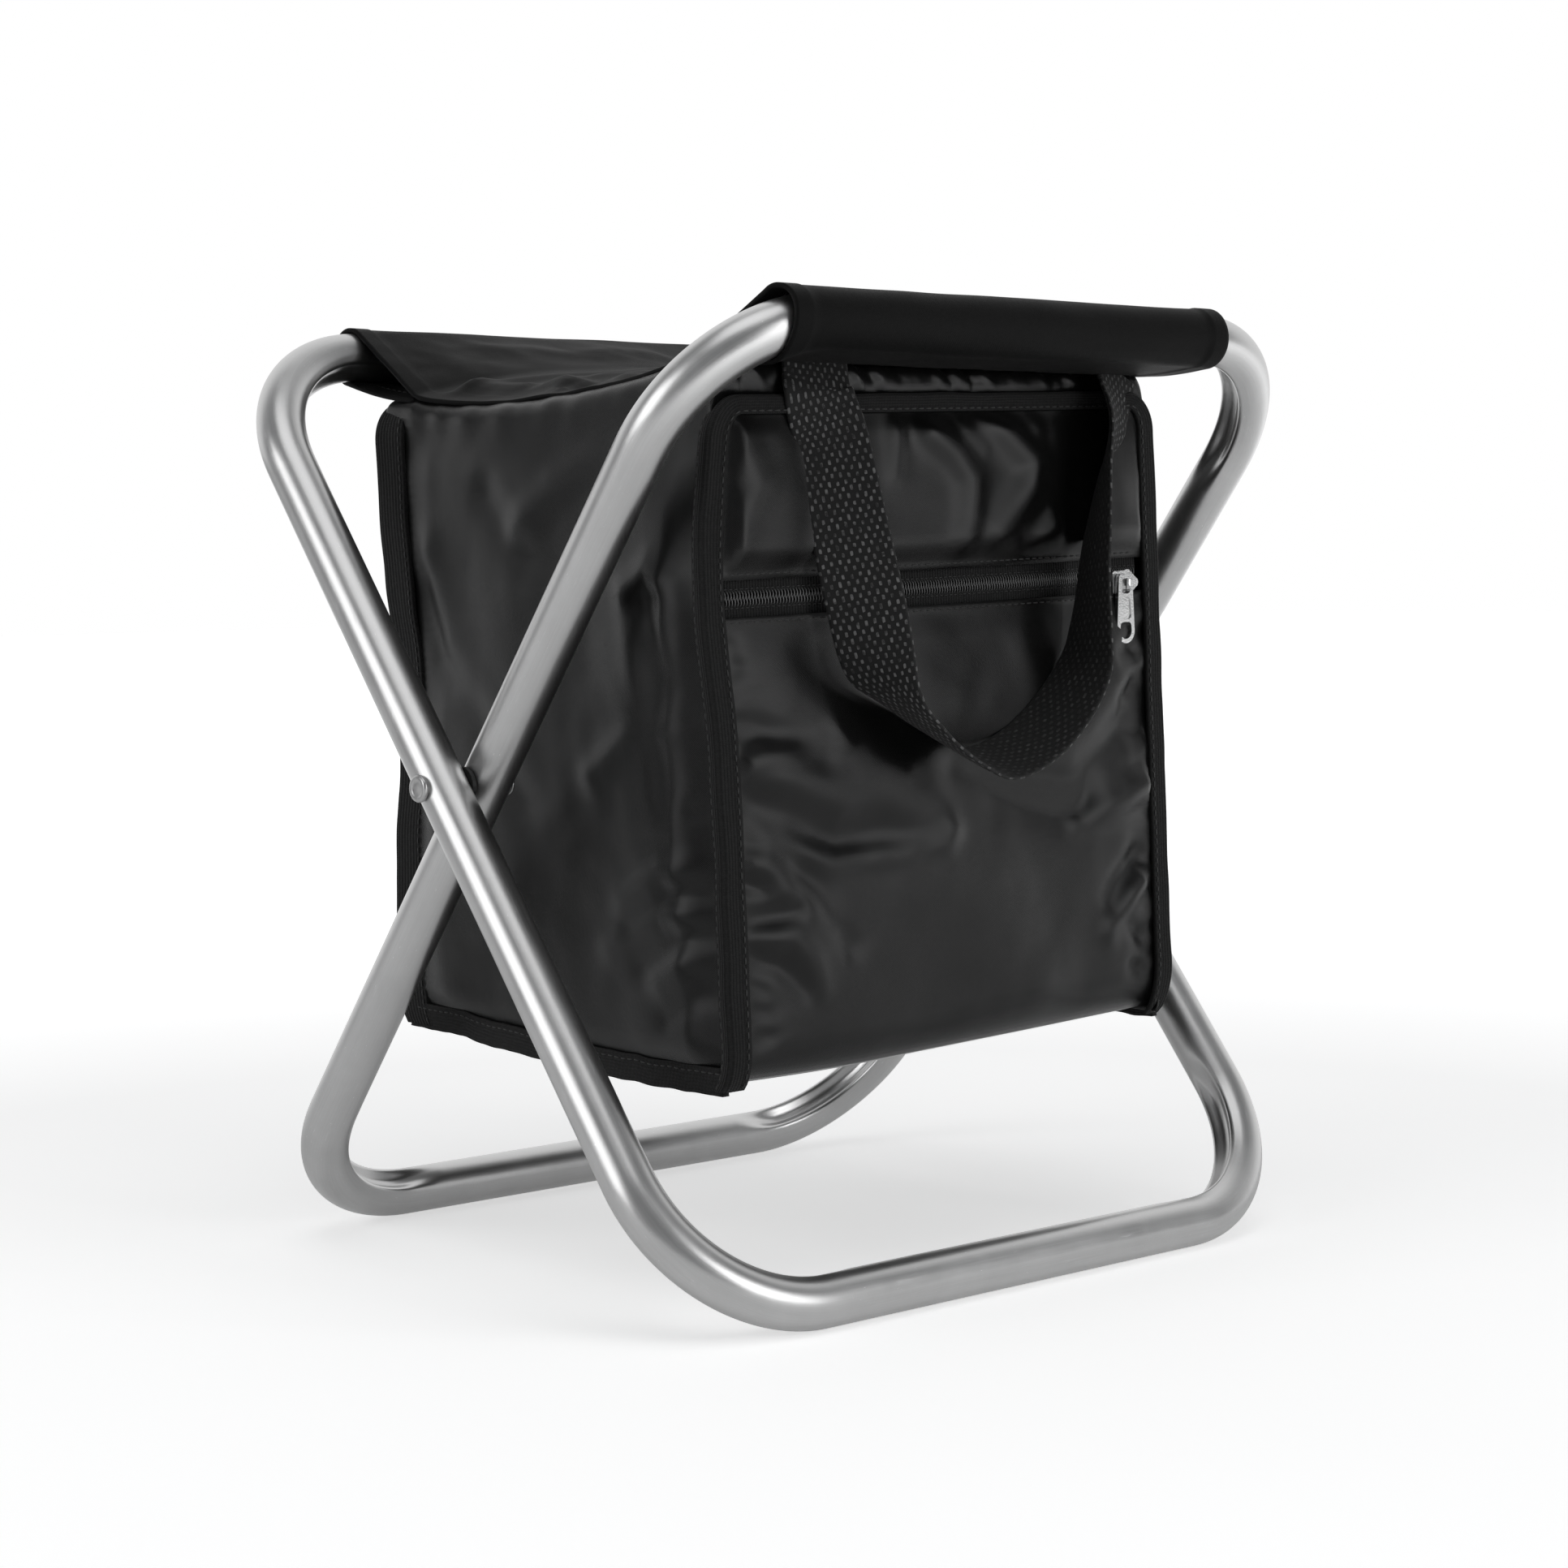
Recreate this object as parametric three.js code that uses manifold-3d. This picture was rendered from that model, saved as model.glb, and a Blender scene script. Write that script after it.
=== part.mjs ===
// Folding cooler stool: two crossed loops of steel tube carry a sling seat, and an insulated bag hangs
// under the seat. All sizes are millimetres. X runs along the seat rails, -Y is the front with the zip and
// +Z is up. The origin is on the floor, under the middle of the stool.
import * as THREE from "three";
import { mergeVertices } from "three/addons/utils/BufferGeometryUtils.js";
import Module from "manifold-3d";

const wasm = await Module();
wasm.setup();

// General clearances
const touchGap = 0.3; // between pieces that touch
const cutOverrun = 5; // how far a cutting body runs past what it cuts
const outlineSteps = 6; // in each bend of an outline
const turnedSides = 16; // round the rivets and their holes

// Tube loops
const tubeDiameter = 19;
const loopWidth = 312; // between the centrelines of a loop's two legs
const armAbovePivot = 210.3; // pivot to the centreline of the top rail
const armBelowPivot = 227; // pivot to the centreline of the bottom rail
const bendRadius = 58; // centreline radius of the four bends
const openHalfAngle = THREE.MathUtils.degToRad(37.9); // each loop from vertical
const tubeSides = 24;
const bendSteps = 10;

// Crush flutes, pressed into the inner side of every bend
const fluteDepth = 4.2;
const fluteHalfAngle = THREE.MathUtils.degToRad(38); // round the tube
const fluteRunOut = 14; // how far a flute fades into the straight tube

// Pivots: flats pressed into the legs, a spacer between them and a rivet through both
const flatDepth = 1;
const flatHalfLength = 20;
const flatSteps = 4; // each way from the pivot
const rivetShankRadius = 3;
const rivetHeadRadius = 5.1;
const rivetHeadHeight = 1.9;
const rivetHeadEdge = 0.5; // rounded rim of the head
const rivetTailRadius = 4.6;
const rivetTailHeight = 1.4;
const spacerRadius = 7;

// Seat sling
const seatPastBend = 15; // the sling is this much wider, each side, than the straight part of a rail
const clothThickness = 0.9;
const seatSeamInset = 43.7; // rail to the seam that shuts its sleeve
const frontSeamDrop = 12.3; // the front seam below its rail
const rearSeamDrop = 17.7; // the rear seam below its rail, at the sling's sides
const seatCrown = 14.5; // how much higher the middle of the sling's width stays at the rear
const seatEdgeSag = 8; // the sling's side edges between the seams
const seatEdgeSagPower = 0.7;
const seatCrownShare = 0.7; // of the way between the seams, where the crown has come to its full height
const sleeveEase = 0.8; // between the tube and its sleeve
const sleeveSeamGap = 1; // between the two layers at the seam
const sleeveSag = 1.4; // how far the lower layer hangs below a straight line
const seatRipple = 0.9; // soft folds in the slopes beside the seams
const seatRippleCount = 3;
const seatAcrossSteps = 16;
const slopeSteps = 4;
const sleeveSteps = 10;
const troughSteps = 6; // from the middle to each seam
const underShare = 0.33; // of the way round a rail, where the sleeve begins to follow the bent tube

// Bag
const bagSideGap = 18.85; // between the bag and the inner leg beside it
const bagPastSeam = 16.5; // the bag in front of the front seam and behind the rear one
const bagBottom = 84;
const bagSeamDrop = 4.6; // the bag's top below the rear seam
const bagLean = 9; // how much further forward the bottom hangs than the top
const bagForward = -0.5; // middle of the bag from the pivot, at half its height
const bagCornerRadius = 12;
const shellThickness = 1;
const foamThickness = 3.5;
const topDip = 3.2; // the bag's top lies this far below its bindings, under the seat
const roofWidthShares = [0.72, 0.92]; // of half the width, where the top comes down to its sides
const roofEdge = 10; // the bag's top curves down to its bindings over this length
const roofRows = 9; // half the rows of points of the bag's top
const cornerSteps = 4;
const roofShares = [0.9, 0.78, 0.66, 0.33, 0]; // of the flat part, where the points of the bag's top are

// Binding tape on the bag's edges
const bindingWidth = 10;
const bindingTopWidth = 7; // its part along the top, folded back more
const bindingThickness = 2;
const bindingOverhang = 3.7; // past the side of the bag
const sideBindingDrop = 3; // the bottom tapes hang this far below the bag

// Zip
const zipDrop = 72.6; // centre of the chain below the bag's top
const zipOpening = 13.2; // between the edges of the two panels
const zipTapeOverlap = 3.5; // tape hidden behind each panel
const zipTapeThickness = 0.8;
const zipChainWidth = 5.2;
const zipChainThickness = 1.9;
const zipChainPitch = 3;
const zipEndInset = 7; // chain ends inside the side bindings
const coilToothShares = [1, 1]; // of the chain's thickness and width, at a tooth
const coilValleyShares = [0.72, 0.86]; // the same between two teeth
const coilFaceShare = 0.7; // of its width, at its face

// Zip slider and puller
const sliderInset = 22.7; // from the right side of the bag, zip closed
const sliderLength = 15;
const sliderWidth = 10.3;
const sliderPlate = 1.2;
const bridgeStart = -2.8; // from the middle of the slider, along the chain
const bridgeEnd = 4.4;
const bridgeHeight = 3.6;
const bridgeThickness = 1.2;
const bridgeWidth = 2.6;
const bridgeBend = 2; // outer radius of the bridge's two bends
const pullerLength = 27.4;
const pullerTopWidth = 7.9;
const pullerBottomWidth = 10.1;
const pullerThickness = 1.8;
const pullerRim = 1.7;
const pullerEyeLength = 6;
const pullerHoleLength = 6.7;
const pullerPanelDepth = 0.5; // sunk into the face between the eye and the hole
const pullerPanelGap = 1.2; // from the eye and the hole

// Webbing handles
const webbingWidth = 28;
const webbingThickness = 1.6;
const handleLeftInset = 41; // the middle of a sewn end from the left side of the bag
const handleRightInset = 29;
const handleDrop = 139.8;
const handleRise = 0.8; // the ends are sewn in this far above the bag's top
const handleStandOff = 19.2; // middle of the webbing from the bag at the bottom of the loop
const handleTilt = 0.4; // how much its outer edge hangs lower there
const handleSteps = 56;

// Worked out from the sizes above
const tubeRadius = tubeDiameter / 2;
const legOffset = (tubeDiameter + touchGap) / 2;
const pivotHeight = armBelowPivot * Math.cos(openHalfAngle) + tubeRadius;
const flatSpacing = 2 * (legOffset - tubeRadius + flatDepth);
const legOuter = loopWidth / 2 + legOffset;
const legInner = loopWidth / 2 - legOffset;
const railY = armAbovePivot * Math.sin(openHalfAngle);
const railHeight = pivotHeight + armAbovePivot * Math.cos(openHalfAngle);
const seatHalfWidth = loopWidth / 2 - bendRadius + seatPastBend;
const seatSeamY = railY - seatSeamInset;
const frontSeamHeight = railHeight - frontSeamDrop;
const rearSeamHeight = railHeight - rearSeamDrop;
const bagHalfWidth = legInner - tubeRadius - bagSideGap;
const bagDepth = 2 * (seatSeamY + bagPastSeam);
const bagTop = rearSeamHeight - bagSeamDrop;
const bagHeight = bagTop - bagBottom;
const bagMiddle = (bagTop + bagBottom) / 2;
const bagFrontY = -bagDepth / 2;
const panelHalfWidth = bagHalfWidth - shellThickness - touchGap;
const roofTop = bagTop - topDip + shellThickness + touchGap;
const zipHeight = bagTop - zipDrop;
const sliderPlace = bagHalfWidth - sliderInset;
const handleCentre = (handleLeftInset - handleRightInset) / 2;
const handleSpan = 2 * bagHalfWidth - handleLeftInset - handleRightInset;
const handleTop = bagTop + handleRise;

// Materials
const steel = { color: 0xb4b6b8, roughness: 0.32, metalness: 1 };
const rivetSteel = { color: 0x9fa1a3, roughness: 0.4, metalness: 1 };
const nylon = { color: 0xd8d8d4, roughness: 0.6, metalness: 0 };
const cloth = { color: 0x17171a, roughness: 0.5, metalness: 0 };
const lining = { color: 0xb9bcc0, roughness: 0.35, metalness: 0.3 };
const tape = { color: 0x111113, roughness: 0.85, metalness: 0 };
const webbing = { color: 0x1c1c1f, roughness: 0.8, metalness: 0 };
const chain = { color: 0x0d0d0e, roughness: 0.4, metalness: 0 };
const plating = { color: 0xd6d7d8, roughness: 0.2, metalness: 1 };

const stool = new THREE.Group();
const sides = [
  ["left", -1],
  ["right", 1],
];

function addMesh(parent, name, geometry, finish) {
  const mesh = new THREE.Mesh(geometry, new THREE.MeshStandardMaterial(finish));
  mesh.name = name;
  parent.add(mesh);
  return mesh;
}

// Geometry helpers

function toSolid(geometry) {
  const bare = geometry.clone();
  for (const name of Object.keys(bare.attributes)) {
    if (name !== "position") bare.deleteAttribute(name);
  }
  const merged = mergeVertices(bare, 1e-4);
  return new wasm.Manifold(
    new wasm.Mesh({
      numProp: 3,
      vertProperties: merged.attributes.position.array,
      triVerts: new Uint32Array(merged.index.array),
    }),
  );
}

function toGeometry(solid) {
  const made = solid.getMesh();
  const geometry = new THREE.BufferGeometry();
  geometry.setAttribute("position", new THREE.BufferAttribute(made.vertProperties, 3));
  geometry.setIndex(new THREE.BufferAttribute(made.triVerts, 1));
  geometry.computeVertexNormals();
  return geometry;
}

// A solid from rings of points, each with the same number of points. The last ring joins the first, or both
// ends are closed by a flat strip across the ring.
function skinRings(rings, joined) {
  const count = rings[0].length;
  const faces = [];
  const spans = joined ? rings.length : rings.length - 1;
  for (let i = 0; i < spans; i += 1) {
    const here = i * count;
    const next = ((i + 1) % rings.length) * count;
    for (let j = 0; j < count; j += 1) {
      const k = (j + 1) % count;
      faces.push(here + j, here + k, next + k, here + j, next + k, next + j);
    }
  }
  const end = (rings.length - 1) * count;
  for (let j = 0; !joined && j < count / 2 - 1; j += 1) {
    const back = count - 1 - j;
    faces.push(j, back - 1, j + 1, j, back, back - 1);
    faces.push(end + j, end + j + 1, end + back - 1, end + j, end + back - 1, end + back);
  }
  const geometry = new THREE.BufferGeometry().setFromPoints(rings.flat());
  geometry.setIndex(faces);
  geometry.computeVertexNormals();
  return geometry;
}

// A thin solid on both sides of a curved sheet, given as rows of points.
function thicken(rows, thickness) {
  const step = (list, i) => [list[Math.max(i - 1, 0)], list[Math.min(i + 1, list.length - 1)]];
  const rings = rows.map((row, i) => {
    const [before, after] = step(rows, i);
    const normals = row.map((point, j) => {
      const along = new THREE.Vector3().subVectors(after[j], before[j]);
      const [left, right] = step(row, j);
      return new THREE.Vector3().subVectors(right, left).cross(along).normalize();
    });
    const side = (sign) =>
      row.map((point, j) => point.clone().addScaledVector(normals[j], (sign * thickness) / 2));
    return [...side(1), ...side(-1).reverse()];
  });
  return skinRings(rings, false);
}

function slab(low, high) {
  const size = new THREE.Vector3().subVectors(high, low);
  const middle = new THREE.Vector3().addVectors(low, high).multiplyScalar(0.5);
  return new THREE.BoxGeometry(size.x, size.y, size.z).translate(middle.x, middle.y, middle.z);
}

// An outline in X and Z, given depth along Y from its front face at frontY.
function plateXZ(shape, frontY, depth) {
  return new THREE.ExtrudeGeometry(shape, { depth, bevelEnabled: false, curveSegments: outlineSteps })
    .rotateX(Math.PI / 2)
    .translate(0, frontY + depth, 0);
}

// Tube loops

function smoothStep(share) {
  const t = THREE.MathUtils.clamp(share, 0, 1);
  return t * t * (3 - 2 * t);
}

// Stations round a loop in its own plane: place, direction inwards, how deep the flute and the flat are.
function bendStations(sideways, upwards, startAngle) {
  const height = upwards > 0 ? armAbovePivot - bendRadius : bendRadius - armBelowPivot;
  const centre = new THREE.Vector2(sideways * (loopWidth / 2 - bendRadius), height);
  const stations = [];
  for (let i = -1; i <= bendSteps + 1; i += 1) {
    const share = THREE.MathUtils.clamp(i / bendSteps, 0, 1);
    const angle = startAngle + (share * Math.PI) / 2;
    const outwards = new THREE.Vector2(Math.cos(angle), Math.sin(angle));
    const along = new THREE.Vector2(-Math.sin(angle), Math.cos(angle));
    const past = (i / bendSteps - share) * bendSteps * fluteRunOut;
    const place = centre.clone().addScaledVector(outwards, bendRadius).addScaledVector(along, past);
    const arc = bendRadius * (Math.PI / 2) * Math.min(share, 1 - share);
    const flute = past ? 0 : smoothStep((arc + fluteRunOut) / (2 * fluteRunOut));
    stations.push({ place, inwards: outwards.negate(), flute, flat: 0 });
  }
  return stations;
}

function legStations(sideways) {
  const stations = [];
  for (let i = -flatSteps; i <= flatSteps; i += 1) {
    const share = i / flatSteps;
    const place = new THREE.Vector2((sideways * loopWidth) / 2, sideways * share * flatHalfLength);
    const flat = 1 - smoothStep(2 * Math.abs(share) - 1);
    stations.push({ place, inwards: new THREE.Vector2(-sideways, 0), flute: 0, flat });
  }
  return stations;
}

function loopStations() {
  return [
    ...bendStations(1, -1, -Math.PI / 2),
    ...legStations(1),
    ...bendStations(1, 1, 0),
    ...bendStations(-1, 1, Math.PI / 2),
    ...legStations(-1),
    ...bendStations(-1, -1, Math.PI),
  ];
}

function tubeRing(station) {
  const facet = (2 * Math.PI) / tubeSides;
  const pointRadius = tubeRadius / Math.cos(facet / 2);
  // A facet of the bottom rail faces straight down
  const phase = (Math.PI + openHalfAngle - facet / 2) % facet;
  const ring = [];
  for (let i = 0; i < tubeSides; i += 1) {
    const angle = phase + i * facet;
    const round = Math.atan2(Math.sin(angle), Math.cos(angle));
    const within = Math.min(Math.abs(round) / fluteHalfAngle, 1);
    const press = station.flute * fluteDepth * Math.cos((within * Math.PI) / 2) ** 2;
    const inwards = pointRadius * Math.cos(angle) - press;
    const x = station.place.x + station.inwards.x * inwards;
    const z = station.place.y + station.inwards.y * inwards;
    ring.push(new THREE.Vector3(x, -pointRadius * Math.sin(angle), z));
  }
  if (station.flat > 0) {
    const limit = station.place.x + tubeRadius - station.flat * flatDepth;
    for (const point of ring) point.x = Math.min(point.x, limit);
  }
  return ring;
}

function tubeLoop() {
  const loop = toSolid(skinRings(loopStations().map(tubeRing), true));
  const holeLength = 2 * legOuter + tubeDiameter + 2 * cutOverrun;
  const holeRadius = rivetShankRadius + touchGap;
  const hole = new THREE.CylinderGeometry(holeRadius, holeRadius, holeLength, turnedSides);
  return toGeometry(loop.subtract(toSolid(hole.rotateZ(Math.PI / 2))));
}

function buildFrames() {
  for (const name of ["rear_seat_frame", "front_seat_frame"]) {
    const frame = new THREE.Group();
    frame.rotation.z = name === "rear_seat_frame" ? 0 : Math.PI;
    frame.position.z = pivotHeight;
    const mesh = addMesh(frame, name, tubeLoop(), steel);
    mesh.rotation.x = -openHalfAngle;
    mesh.position.x = -legOffset;
    stool.add(frame);
  }
}

// Rivets run along X from the outer leg's outer side to the inner leg's inner side.
function rivetProfile() {
  const outerFace = legOuter + tubeRadius + touchGap;
  const innerFace = legInner - tubeRadius - touchGap;
  return [
    [0, innerFace - rivetTailHeight],
    [rivetTailRadius - rivetHeadEdge, innerFace - rivetTailHeight],
    [rivetTailRadius, innerFace - rivetTailHeight + rivetHeadEdge],
    [rivetTailRadius, innerFace],
    [rivetShankRadius, innerFace],
    [rivetShankRadius, outerFace],
    [rivetHeadRadius, outerFace],
    [rivetHeadRadius, outerFace + rivetHeadHeight - rivetHeadEdge],
    [rivetHeadRadius - rivetHeadEdge, outerFace + rivetHeadHeight],
    [0, outerFace + rivetHeadHeight],
  ].map(([radius, height]) => new THREE.Vector2(radius, height));
}

function spacerProfile() {
  const inner = rivetShankRadius + touchGap;
  const half = flatSpacing / 2 - touchGap;
  return [
    [inner, -half],
    [spacerRadius, -half],
    [spacerRadius, half],
    [inner, half],
    [inner, -half],
  ].map(([radius, height]) => new THREE.Vector2(radius, height));
}

function buildPivots() {
  for (const [side, sign] of sides) {
    const pivot = new THREE.Group();
    pivot.rotation.z = sign > 0 ? 0 : Math.PI;
    pivot.position.z = pivotHeight;
    const rivet = new THREE.LatheGeometry(rivetProfile(), turnedSides).rotateZ(-Math.PI / 2);
    addMesh(pivot, `pivot_rivet_${side}`, rivet, rivetSteel);
    const spacer = new THREE.LatheGeometry(spacerProfile(), tubeSides).rotateZ(-Math.PI / 2);
    addMesh(pivot, `pivot_spacer_${side}`, spacer, nylon).position.x = loopWidth / 2;
    stool.add(pivot);
  }
}

// Seat sling: one cloth, from between the seams up and over each rail and back under it to its seam

// Height of the sling's side edges between the seams, at a share of the way from the middle to the rear seam
function seatEdgeHeight(share) {
  const straight = THREE.MathUtils.mapLinear(share, -1, 1, frontSeamHeight, rearSeamHeight);
  return straight - seatEdgeSag * Math.max(1 - share * share, 0) ** seatEdgeSagPower;
}

// How much higher the sling is there, at a share of the way from the middle of its width to an edge
function crownHeight(share, across) {
  return seatCrown * smoothStep((share + 1) / (2 * seatCrownShare)) * (1 - across * across);
}

// How far the underside of the tube has turned down towards the pivot, at a place along its top rail
function undersideDrop(x) {
  const past = Math.max(Math.abs(x) - (loopWidth / 2 - bendRadius), 0);
  const along = Math.sqrt(bendRadius ** 2 - past ** 2);
  return bendRadius - along + tubeRadius * (bendRadius / along - 1);
}

// The cloth from just past the middle to one rail and back to the seam, at one place across the sling. The
// side is 1 for the rear and -1 for the front. Loose cloth ripples, and the part under the rail follows the
// bent tube.
function seatHalfProfile(side, across) {
  const x = across * seatHalfWidth;
  const wrap = tubeRadius + sleeveEase + clothThickness / 2;
  const rail = new THREE.Vector2(railY, railHeight);
  const seam = new THREE.Vector2(seatSeamY, seatEdgeHeight(side) + crownHeight(side, across));
  const lowerSeam = seam.clone().add(new THREE.Vector2(clothThickness, -clothThickness - sleeveSeamGap));
  const tangentAngle = (target, turn) => {
    const towards = target.clone().sub(rail);
    return towards.angle() + turn * Math.acos(wrap / towards.length());
  };
  const onRail = (angle) => {
    return new THREE.Vector2(Math.cos(angle), Math.sin(angle)).multiplyScalar(wrap).add(rail);
  };
  const startAngle = tangentAngle(seam, -1);
  const endAngle = tangentAngle(lowerSeam, 1) - 2 * Math.PI;
  const drop = undersideDrop(x + side * legOffset);
  const ripple = seatRipple * Math.cos(seatRippleCount * Math.PI * across);
  const profile = [];
  const add = (place, loose, under) => {
    const y = place.x - drop * under * Math.sin(openHalfAngle);
    const z = place.y - drop * under * Math.cos(openHalfAngle) + ripple * loose;
    profile.push(new THREE.Vector3(x, side * y, z));
  };
  for (let i = 1; i < troughSteps; i += 1) {
    const share = i / troughSteps;
    const height = seatEdgeHeight(side * share) + crownHeight(side * share, across);
    add(new THREE.Vector2(share * seatSeamY, height), 0, 0);
  }
  for (let i = 0; i < slopeSteps; i += 1) {
    const share = i / slopeSteps;
    add(seam.clone().lerp(onRail(startAngle), share), Math.sin(share * Math.PI), 0);
  }
  for (let i = 0; i <= sleeveSteps; i += 1) {
    const share = i / sleeveSteps;
    const under = smoothStep((share - underShare) / (1 - underShare));
    add(onRail(THREE.MathUtils.lerp(startAngle, endAngle, share)), 0, under);
  }
  for (let i = 1; i <= slopeSteps; i += 1) {
    const share = i / slopeSteps;
    const place = onRail(endAngle).lerp(lowerSeam, share);
    place.y -= sleeveSag * Math.sin(share * Math.PI);
    add(place, 0, 1 - share);
  }
  return profile;
}

function buildSeat() {
  const columns = [];
  for (let j = 0; j <= seatAcrossSteps; j += 1) {
    const across = (2 * j) / seatAcrossSteps - 1;
    const middle = new THREE.Vector3(across * seatHalfWidth, 0, seatEdgeHeight(0) + crownHeight(0, across));
    columns.push([...seatHalfProfile(-1, across).reverse(), middle, ...seatHalfProfile(1, across)]);
  }
  const rows = columns[0].map((point, i) => columns.map((column) => column[i]));
  addMesh(stool, "seat_sling", thicken(rows, clothThickness), cloth);
}

// The bag is drawn upright and then sheared, so that its bottom hangs further forward than its top.
const bagShear = new THREE.Matrix4()
  .makeTranslation(0, bagForward, bagMiddle)
  .multiply(new THREE.Matrix4().makeShear(0, 0, 0, 0, 0, bagLean / bagHeight))
  .multiply(new THREE.Matrix4().makeTranslation(0, 0, -bagMiddle));

// How far the leaning bag has moved towards the back at a height.
function leanAt(z) {
  return bagForward + (bagLean / bagHeight) * (z - bagMiddle);
}

function addBagMesh(name, geometry, finish) {
  return addMesh(stool, name, geometry.applyMatrix4(bagShear), finish);
}

// Outline of a front or back panel between two heights, with rounded corners where it reaches the top.
function panelShape(halfWidth, bottom, top, radius) {
  const shape = new THREE.Shape();
  shape.moveTo(-halfWidth, bottom);
  shape.lineTo(halfWidth, bottom);
  shape.lineTo(halfWidth, top - radius);
  if (radius > 0) shape.absarc(halfWidth - radius, top - radius, radius, 0, Math.PI / 2);
  shape.lineTo(-halfWidth + radius, top);
  if (radius > 0) shape.absarc(-halfWidth + radius, top - radius, radius, Math.PI / 2, Math.PI);
  shape.lineTo(-halfWidth, bottom);
  return shape;
}

function buildPanels() {
  const lowerTop = zipHeight - zipOpening / 2;
  const upperBottom = zipHeight + zipOpening / 2;
  const panelTop = bagTop - topDip;
  const foamHalfWidth = panelHalfWidth - foamThickness - touchGap;
  const foamBottom = bagBottom + shellThickness + touchGap;
  const foamTop = panelTop - shellThickness - foamThickness - 2 * touchGap;
  const foamY = bagFrontY + shellThickness + touchGap;
  const foamEdge = zipTapeOverlap + touchGap;
  const panel = (name, bottom, top, radius, frontY) => {
    const shape = panelShape(panelHalfWidth, bottom, top, radius);
    addBagMesh(name, plateXZ(shape, frontY, shellThickness), cloth);
  };
  const foam = (name, bottom, top, radius, frontY) => {
    const shape = panelShape(foamHalfWidth, bottom, top, radius);
    addBagMesh(name, plateXZ(shape, frontY, foamThickness), lining);
  };
  panel("front_panel_lower", bagBottom, lowerTop, 0, bagFrontY);
  panel("front_panel_upper", upperBottom, panelTop, bagCornerRadius, bagFrontY);
  panel("back_panel", bagBottom, panelTop, bagCornerRadius, -bagFrontY - shellThickness);
  foam("insulation_front_lower", foamBottom, lowerTop - foamEdge, 0, foamY);
  foam("insulation_front_upper", upperBottom + foamEdge, foamTop, bagCornerRadius, foamY);
  foam("insulation_back", foamBottom, foamTop, bagCornerRadius, -foamY - foamThickness);
}

// The bag's top strip: flat under the sagging seat, higher at the seams, and round at its sides
function roofHeight(x, y) {
  const reach = bagDepth / 2 - shellThickness - touchGap;
  const middle = roofTop - shellThickness / 2;
  const share = THREE.MathUtils.clamp((y + leanAt(bagTop)) / seatSeamY, -1, 1);
  const sleeveUnderside = seatEdgeHeight(share) - sleeveSeamGap - clothThickness - clothThickness / 2;
  const rise = Math.max(sleeveUnderside - touchGap - shellThickness / 2 - middle, 0);
  const out = Math.max(Math.abs(y) - (reach - roofEdge), 0) / roofEdge;
  const [full, none] = roofWidthShares;
  const across = (Math.abs(x) / bagHalfWidth - full) / (none - full);
  return middle + rise * (1 - smoothStep(across)) * Math.sqrt(1 - Math.min(out, 1) ** 2);
}

function buildTop() {
  const reach = bagDepth / 2 - shellThickness - touchGap;
  const radius = bagCornerRadius - shellThickness / 2;
  const flat = bagHalfWidth - bagCornerRadius;
  const springing = roofTop - bagCornerRadius + touchGap;
  const half = [];
  for (let i = 0; i <= cornerSteps; i += 1) {
    const angle = (i / cornerSteps) * (Math.PI / 2);
    const x = flat + radius * Math.cos(angle);
    half.push([x, i ? radius * (Math.sin(angle) - 1) : springing - roofTop + shellThickness / 2]);
  }
  for (const share of roofShares) half.push([share * flat, 0]);
  const section = [...half.map(([x, drop]) => [-x, drop]), ...half.slice(0, -1).reverse()];
  const rows = [];
  for (let i = -roofRows; i <= roofRows; i += 1) {
    const y = reach * Math.sin((i / roofRows) * (Math.PI / 2));
    rows.push(section.map(([x, drop]) => new THREE.Vector3(x, y, roofHeight(x, y) + drop)));
  }
  addBagMesh("bag_top", thicken(rows, shellThickness), cloth);
}

function buildBox() {
  const reach = bagDepth / 2 - shellThickness - touchGap;
  const foamReach = reach - foamThickness - touchGap;
  const side = bagHalfWidth - shellThickness - touchGap;
  const foamSide = side - foamThickness - touchGap;
  const top = roofTop - bagCornerRadius - touchGap;
  const inside = bagBottom + shellThickness + touchGap;
  const foamTop = roofTop - shellThickness - touchGap;
  const cornerSide = bagHalfWidth - bagCornerRadius;
  const box = (name, from, to, halfDepth, bottom, height, finish) => {
    const low = new THREE.Vector3(Math.min(from, to), -halfDepth, bottom);
    const high = new THREE.Vector3(Math.max(from, to), halfDepth, bottom + height);
    addBagMesh(name, slab(low, high), finish);
  };
  for (const [name, sign] of sides) {
    const from = sign * side;
    const outside = sign * bagHalfWidth;
    const foamFace = from - sign * foamThickness;
    box(`gusset_${name}`, outside, from + sign * touchGap, reach, bagBottom, top - bagBottom, cloth);
    box(`insulation_${name}`, from, foamFace, foamReach, inside, top - inside, lining);
  }
  box("bag_bottom", -side, side, reach, bagBottom, shellThickness, cloth);
  box("insulation_bottom", -foamSide, foamSide, foamReach, inside, foamThickness, lining);
  box("insulation_top", -cornerSide, cornerSide, foamReach, foamTop - foamThickness, foamThickness, lining);
}

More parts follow.
